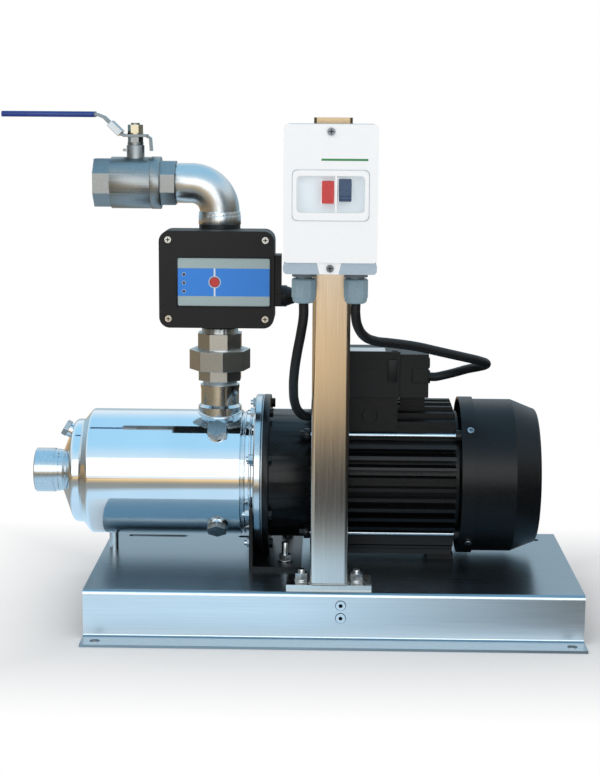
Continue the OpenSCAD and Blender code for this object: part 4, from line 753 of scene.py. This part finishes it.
# Fine-grained plastic, evenly satin.
white_plastic = surface(
    "plastic, moulded white", ("#eceef0", "#f2f4f5"),
    metal=0, rough=0.42, swing=0.05, grain=0.0015, depth=0.00002,
)
grey_plastic = surface(
    "plastic, moulded light grey", ("#9fb0bd", "#a9bac6"),
    metal=0, rough=0.42, swing=0.05, grain=0.0015, depth=0.00002,
)
dress("enclosure_base", grey_plastic, 0.0015)
dress("enclosure_cover", white_plastic, 0.0015)
# The switch's own face is plain white, and it glows a little: painted light that keeps it bright
# in the shade behind the window.
module_plastic = surface(
    "plastic, moulded plain white, painted glow", ("#fafbfb", "#fdfdfd"),
    metal=0, rough=0.5, swing=0.04, grain=0.002, depth=0.00001,
)
module_face = module_plastic.node_tree.nodes["Principled BSDF"]
# The emission is painted light on the white face.
module_face.inputs["Emission Color"].default_value = linear("#ffffff")
module_face.inputs["Emission Strength"].default_value = 0.3
dress("protector_module", module_plastic)
# The stripe is printed on the cover, the ring beside it moulded in, and a bar divides the window.
green_print = surface(
    "ink, printed green", ("#1d7f43", "#25894b"),
    metal=0, rough=0.4, swing=0.04, grain=0.002, depth=0.00001,
)
stripe = block((-0.0163, -0.2057, 0.5158), (0.0294, -0.2053, 0.5178), edge=0.00005)
piece("stripe", stripe, green_print, "set")
roundel_outline = [(0.0036, -0.0002), (0.0042, -0.0002), (0.0042, 0.0003), (0.0036, 0.0003)]
roundel = spun(roundel_outline, (-0.0085, -0.2055, 0.5287), front)
piece("roundel", roundel, white_plastic, "set")
window_bar = block((-0.0028, -0.2066, 0.4652), (-0.0006, -0.2037, 0.5008), edge=0.0003)
piece("window_bar", window_bar, white_plastic, "set")
# A moulded step frames the window; a thin grey-blue bead along it is painted shade of the step's
# groove.
shade_plastic = surface(
    "plastic, painted groove shade", ("#a9b5c2", "#b3bfca"),
    metal=0, rough=0.5, swing=0.05, grain=0.0015, depth=0.00001,
)
window_x, window_z = -0.007, 0.482
step_half_x, step_half_z, step_corner = 0.0377, 0.0247, 0.004
step_y, step_bead_r = -0.2057, 0.0004
step_line = [
    (window_x + a, step_y, window_z + b)
    for a, b in rounded(step_half_x, step_half_z, step_corner)
]
# The bead is painted shade along the step.
piece("window_step_shade", bead(step_line, step_bead_r), shade_plastic, "set")
# A tapered seat for the lower screw is moulded on the band.
seat_outline = [(-0.013, 0.0054), (0.011, 0.0054), (0.0085, -0.0058), (-0.0105, -0.0058)]
seat = prism(seat_outline, (-0.007, -0.2034, 0.41), front, thickness=0.0006)
piece("screw_seat", seat, white_plastic, "set")


# Window
# A flat moulding of clear polycarbonate, glued into the cover.
# Clear sheet lets most light through and mirrors a little of the room.
def layered(tree, share, one, other):
    return add(tree, "ShaderNodeMixShader", {0: share, 1: one, 2: other}).outputs[0]


clear_plastic, tree, shader, place = start("polycarbonate, moulded clear")
noise = add(tree, "ShaderNodeTexNoise", {"Vector": place, "Scale": 100}).outputs[0]
haze = ramp(tree, noise, low=0.02, high=0.08)
through = add(tree, "ShaderNodeBsdfTransparent", {"Color": linear("#f4f8fa")}).outputs[0]
mirror = add(tree, "ShaderNodeBsdfGlossy", {"Roughness": haze}).outputs[0]
share = add(tree, "ShaderNodeFresnel", {"IOR": 1.3}).outputs[0]
sheet = layered(tree, share, through, mirror)
tree.links.new(sheet, tree.nodes["Material Output"].inputs["Surface"])
dress("enclosure_window", clear_plastic)

# Buttons of the switch
# A red stop button and a dark start button, moulded, that slide in the guides of the switch.
dress("stop_button", red_plastic, 0.0006)
# Navy plastic, evenly satin.
navy_plastic = surface(
    "plastic, moulded navy", ("#24405f", "#2e4c6e"),
    metal=0, rough=0.3, swing=0.05, grain=0.002, depth=0.00002,
)
dress("start_button", navy_plastic, 0.0006)

# Glands
# Two polyamide glands screwed into the underside of the enclosure, each with a dome nut below.
# Moulded polyamide is grey-blue and satin; the collars by the enclosure are drawn a darker grey, as
# painted shade under the enclosure.
gland_plastic = surface(
    "polyamide, moulded", ("#7c949f", "#88a0ab"),
    metal=0, rough=0.45, swing=0.05, grain=0.002, depth=0.00002,
)
collar_plastic = surface(
    "polyamide, painted shade under the enclosure", ("#5f676c", "#6a7277"),
    metal=0, rough=0.5, swing=0.05, grain=0.002, depth=0.00002,
)
collar_z = 0.397
# Faces above collar_z take the darker grey, which is painted shade.
dress("enclosure_glands", gland_plastic, 0.0006, collar_plastic, lambda at: at.z > collar_z)

# Cover screws
# Pan-head screws with a cross recess: zinc plated on the controller, the lid and the fan cover, and
# blackened on the enclosure.
# A thin black finish on steel keeps a grey metal sheen.
black_oxide = surface(
    "steel, blackened", ("#6a7278", "#7a8288"),
    metal=1, rough=0.3, swing=0.06, grain=0.003, depth=0.000002,
)
enclosure_y = -0.15
dress("cover_screws", zinc, 0.0005, black_oxide, lambda at: at.y < enclosure_y)
# The recess lies in its own shade.
# Each head's cross recess is drawn as a thin dark cross laid on it: painted shade of the recess.
recess_dark = surface(
    "painted shade, screw recess", ("#16181a", "#1f2224"),
    metal=0, rough=0.6, swing=0.05, grain=0.002, depth=0.00001, shine=0.2,
)
arm, arm_half = 0.0022, 0.0005
cross = [
    (arm_half, arm), (-arm_half, arm), (-arm_half, arm_half),
    (-arm, arm_half), (-arm, -arm_half), (-arm_half, -arm_half),
]
cross += [(-a, -b) for a, b in cross]
controller_head_y, lid_head_z = -0.01595, 0.29795
cover_head_x, cover_head = 0.152, 0.06538
top = (0, 0, 1)
heads = [((x, controller_head_y, z), front) for x in (-0.187, -0.079) for z in (0.334, 0.422)]
heads += [((-0.007, -0.20545, 0.41), front), ((-0.007, -0.20745, 0.544), front)]
heads += [((x, y, lid_head_z), top) for x in (0.001, 0.066) for y in (-0.016, 0.026)]
heads += [
    ((cover_head_x, axis_y + a * cover_head, axis_z + b * cover_head), (0, a, b))
    for a in (-1, 1)
    for b in (-1, 1)
]
recess_deep = 0.0001
# Each cross below is painted shade on a screw head.
for number, (head_at, axis) in enumerate(heads):
    recess = prism(cross, head_at, axis, recess_deep)
    piece(f"screw_recess_shade_{number}", recess, recess_dark, "set")

# Studio
# A pale floor that turns white to the camera away from the object and keeps its shadow. Beyond the
# base, reflections see it glow with a painted ground: pale blue near by, then dull, then warm and
# sunlit.
floor_r = 6
floor_mesh = bpy.data.meshes.new("floor")
shape = bmesh.new()
bmesh.ops.create_circle(shape, cap_ends=True, segments=96, radius=floor_r)
shape.to_mesh(floor_mesh)
shape.free()
floor = bpy.data.objects.new("floor", floor_mesh)
bpy.context.scene.collection.objects.link(floor)
paint, tree, shader, place = start("studio floor")
shader.inputs["Base Color"].default_value = linear("#f2f3f4")
shader.inputs["Roughness"].default_value = 0.8
rays = add(tree, "ShaderNodeLightPath", {})
beside = add(tree, "ShaderNodeVectorMath", {0: place}, operation="ABSOLUTE").outputs[0]
base_half = (0.285, 0.16, 1)
past_base = add(tree, "ShaderNodeVectorMath", {0: beside, 1: base_half}, operation="SUBTRACT")
edges = add(tree, "ShaderNodeSeparateXYZ", {"Vector": past_base.outputs[0]})
reach = maths(tree, "MAXIMUM", edges.outputs["X"], edges.outputs["Y"])
white_from = 0.2
far = ramp(tree, reach, 0, white_from)
to_white = maths(tree, "MULTIPLY", far, rays.outputs["Is Camera Ray"])
white = add(tree, "ShaderNodeEmission", {"Color": (1, 1, 1, 1), "Strength": 1}).outputs[0]
shown = layered(tree, to_white, shader.outputs[0], white)
# The painted reflection of the ground changes tone with its distance from the set, in metres.
distance = add(tree, "ShaderNodeVectorMath", {0: place}, operation="LENGTH").outputs["Value"]
ground_reach = 2.4
along = maths(tree, "DIVIDE", distance, ground_reach, clamp=True)
ground = add(tree, "ShaderNodeValToRGB", {"Fac": along})
ground_tones = {
    0.42: "#c8e6fb", 0.54: "#9da09e", 0.8: "#979894", 1.35: "#d2b78f", 2.0: "#ffdaa8",
}
for spot in list(ground_tones)[2:]:
    ground.color_ramp.elements.new(spot / ground_reach)
for stop, (spot, tone) in zip(ground.color_ramp.elements, ground_tones.items()):
    stop.position = spot / ground_reach
    stop.color = linear(tone)
# A painted dark strip on that ground, in front of the middle, gives the polished steel a painted
# dark reflection.
across = add(tree, "ShaderNodeSeparateXYZ", {"Vector": place}).outputs["X"]
from_left = ramp(tree, across, -0.15, -0.07)
from_right = ramp(tree, across, 0.25, 0.17)
in_line = maths(tree, "MULTIPLY", from_left, from_right)
nearer = ramp(tree, distance, 1.5, 1.0)
beyond = ramp(tree, distance, 0.55, 0.65)
strip = maths(tree, "MULTIPLY", maths(tree, "MULTIPLY", in_line, nearer), beyond)
ground_shade = mixed(tree, strip, ground.outputs["Color"], linear("#35383a"))
# The painted ground glows brighter on the left, as painted light, and dims to the right and far out
# on the left.
lit = ramp(tree, across, -0.05, 0.3, 1.15, 0.05)
lit_left = ramp(tree, across, -1.1, -0.6, 0.4, 1)
lit_both = maths(tree, "MULTIPLY", lit, lit_left)
# This glow is the painted ground, seen by reflections only.
glow = add(tree, "ShaderNodeEmission", {"Color": ground_shade, "Strength": lit_both}).outputs[0]
out_there = ramp(tree, reach, -0.02, 0.03)
to_ground = maths(tree, "MULTIPLY", out_there, rays.outputs["Is Glossy Ray"])
mirrored = layered(tree, to_ground, shown, glow)
tree.links.new(mirrored, tree.nodes["Material Output"].inputs["Surface"])
floor.data.materials.append(paint)

# The sky lights everything evenly white. Polished parts mirror it white low down and blue overhead,
# with a dull wall low at each side and a pale blue one behind.
world = bpy.data.worlds.new("studio")
bpy.context.scene.world = world
world.use_nodes = True
tree = world.node_tree
even = tree.nodes["Background"]
even.inputs["Color"].default_value = (1, 1, 1, 1)
even.inputs["Strength"].default_value = 0.72
place = add(tree, "ShaderNodeTexCoord", {}).outputs["Generated"]
axes = add(tree, "ShaderNodeSeparateXYZ", {"Vector": place})
overhead = ramp(tree, axes.outputs["Z"], 0.4, 0.85)
sky_tone = mixed(tree, overhead, linear("#f4f9fc"), linear("#aee0ff"))
low_down = ramp(tree, axes.outputs["Z"], 0.45, 0.2)
sideways = maths(tree, "ABSOLUTE", axes.outputs["X"])
side_wall = maths(tree, "MULTIPLY", ramp(tree, sideways, 0.4, 0.7), low_down)
room = mixed(tree, side_wall, sky_tone, linear("#78746a"))
back_wall = maths(tree, "MULTIPLY", ramp(tree, axes.outputs["Y"], 0.3, 0.7), low_down)
surround = mixed(tree, back_wall, room, linear("#a4c0d0"))
blue_sky = add(tree, "ShaderNodeBackground", {"Color": surround, "Strength": 1.15}).outputs[0]
plain = add(tree, "ShaderNodeBackground", {"Color": (1, 1, 1, 1), "Strength": 1}).outputs[0]
rays = add(tree, "ShaderNodeLightPath", {})
mirror_sky = layered(tree, rays.outputs["Is Glossy Ray"], even.outputs[0], blue_sky)
seen = maths(tree, "MAXIMUM", rays.outputs["Is Camera Ray"], rays.outputs["Is Transmission Ray"])
both = layered(tree, seen, mirror_sky, plain)
tree.links.new(both, tree.nodes["World Output"].inputs["Surface"])

# Two soft lamps: a wide one in front, which the metal mirrors, and a key lamp from the upper left.
aim = Vector((0, 0, 0.25))
lamps = {
    "front_box": {"stand": (0, -3.0, 1.2), "size": (3.4, 1.8), "power": 24, "mirrored": True},
    "key": {"stand": (-1.3, -1.2, 2.4), "size": (1.2, 1.2), "power": 6, "mirrored": False},
}
for name, made in lamps.items():
    lamp = bpy.data.objects.new(name, bpy.data.lights.new(name, "AREA"))
    lamp.data.shape = "RECTANGLE"
    lamp.data.size, lamp.data.size_y = made["size"]
    lamp.data.energy = made["power"]
    lamp.visible_glossy = made["mirrored"]
    lamp.location = made["stand"]
    lamp.rotation_euler = (aim - Vector(made["stand"])).to_track_quat("-Z", "Y").to_euler()
    bpy.context.scene.collection.objects.link(lamp)

bpy.context.scene.view_settings.view_transform = "Standard"
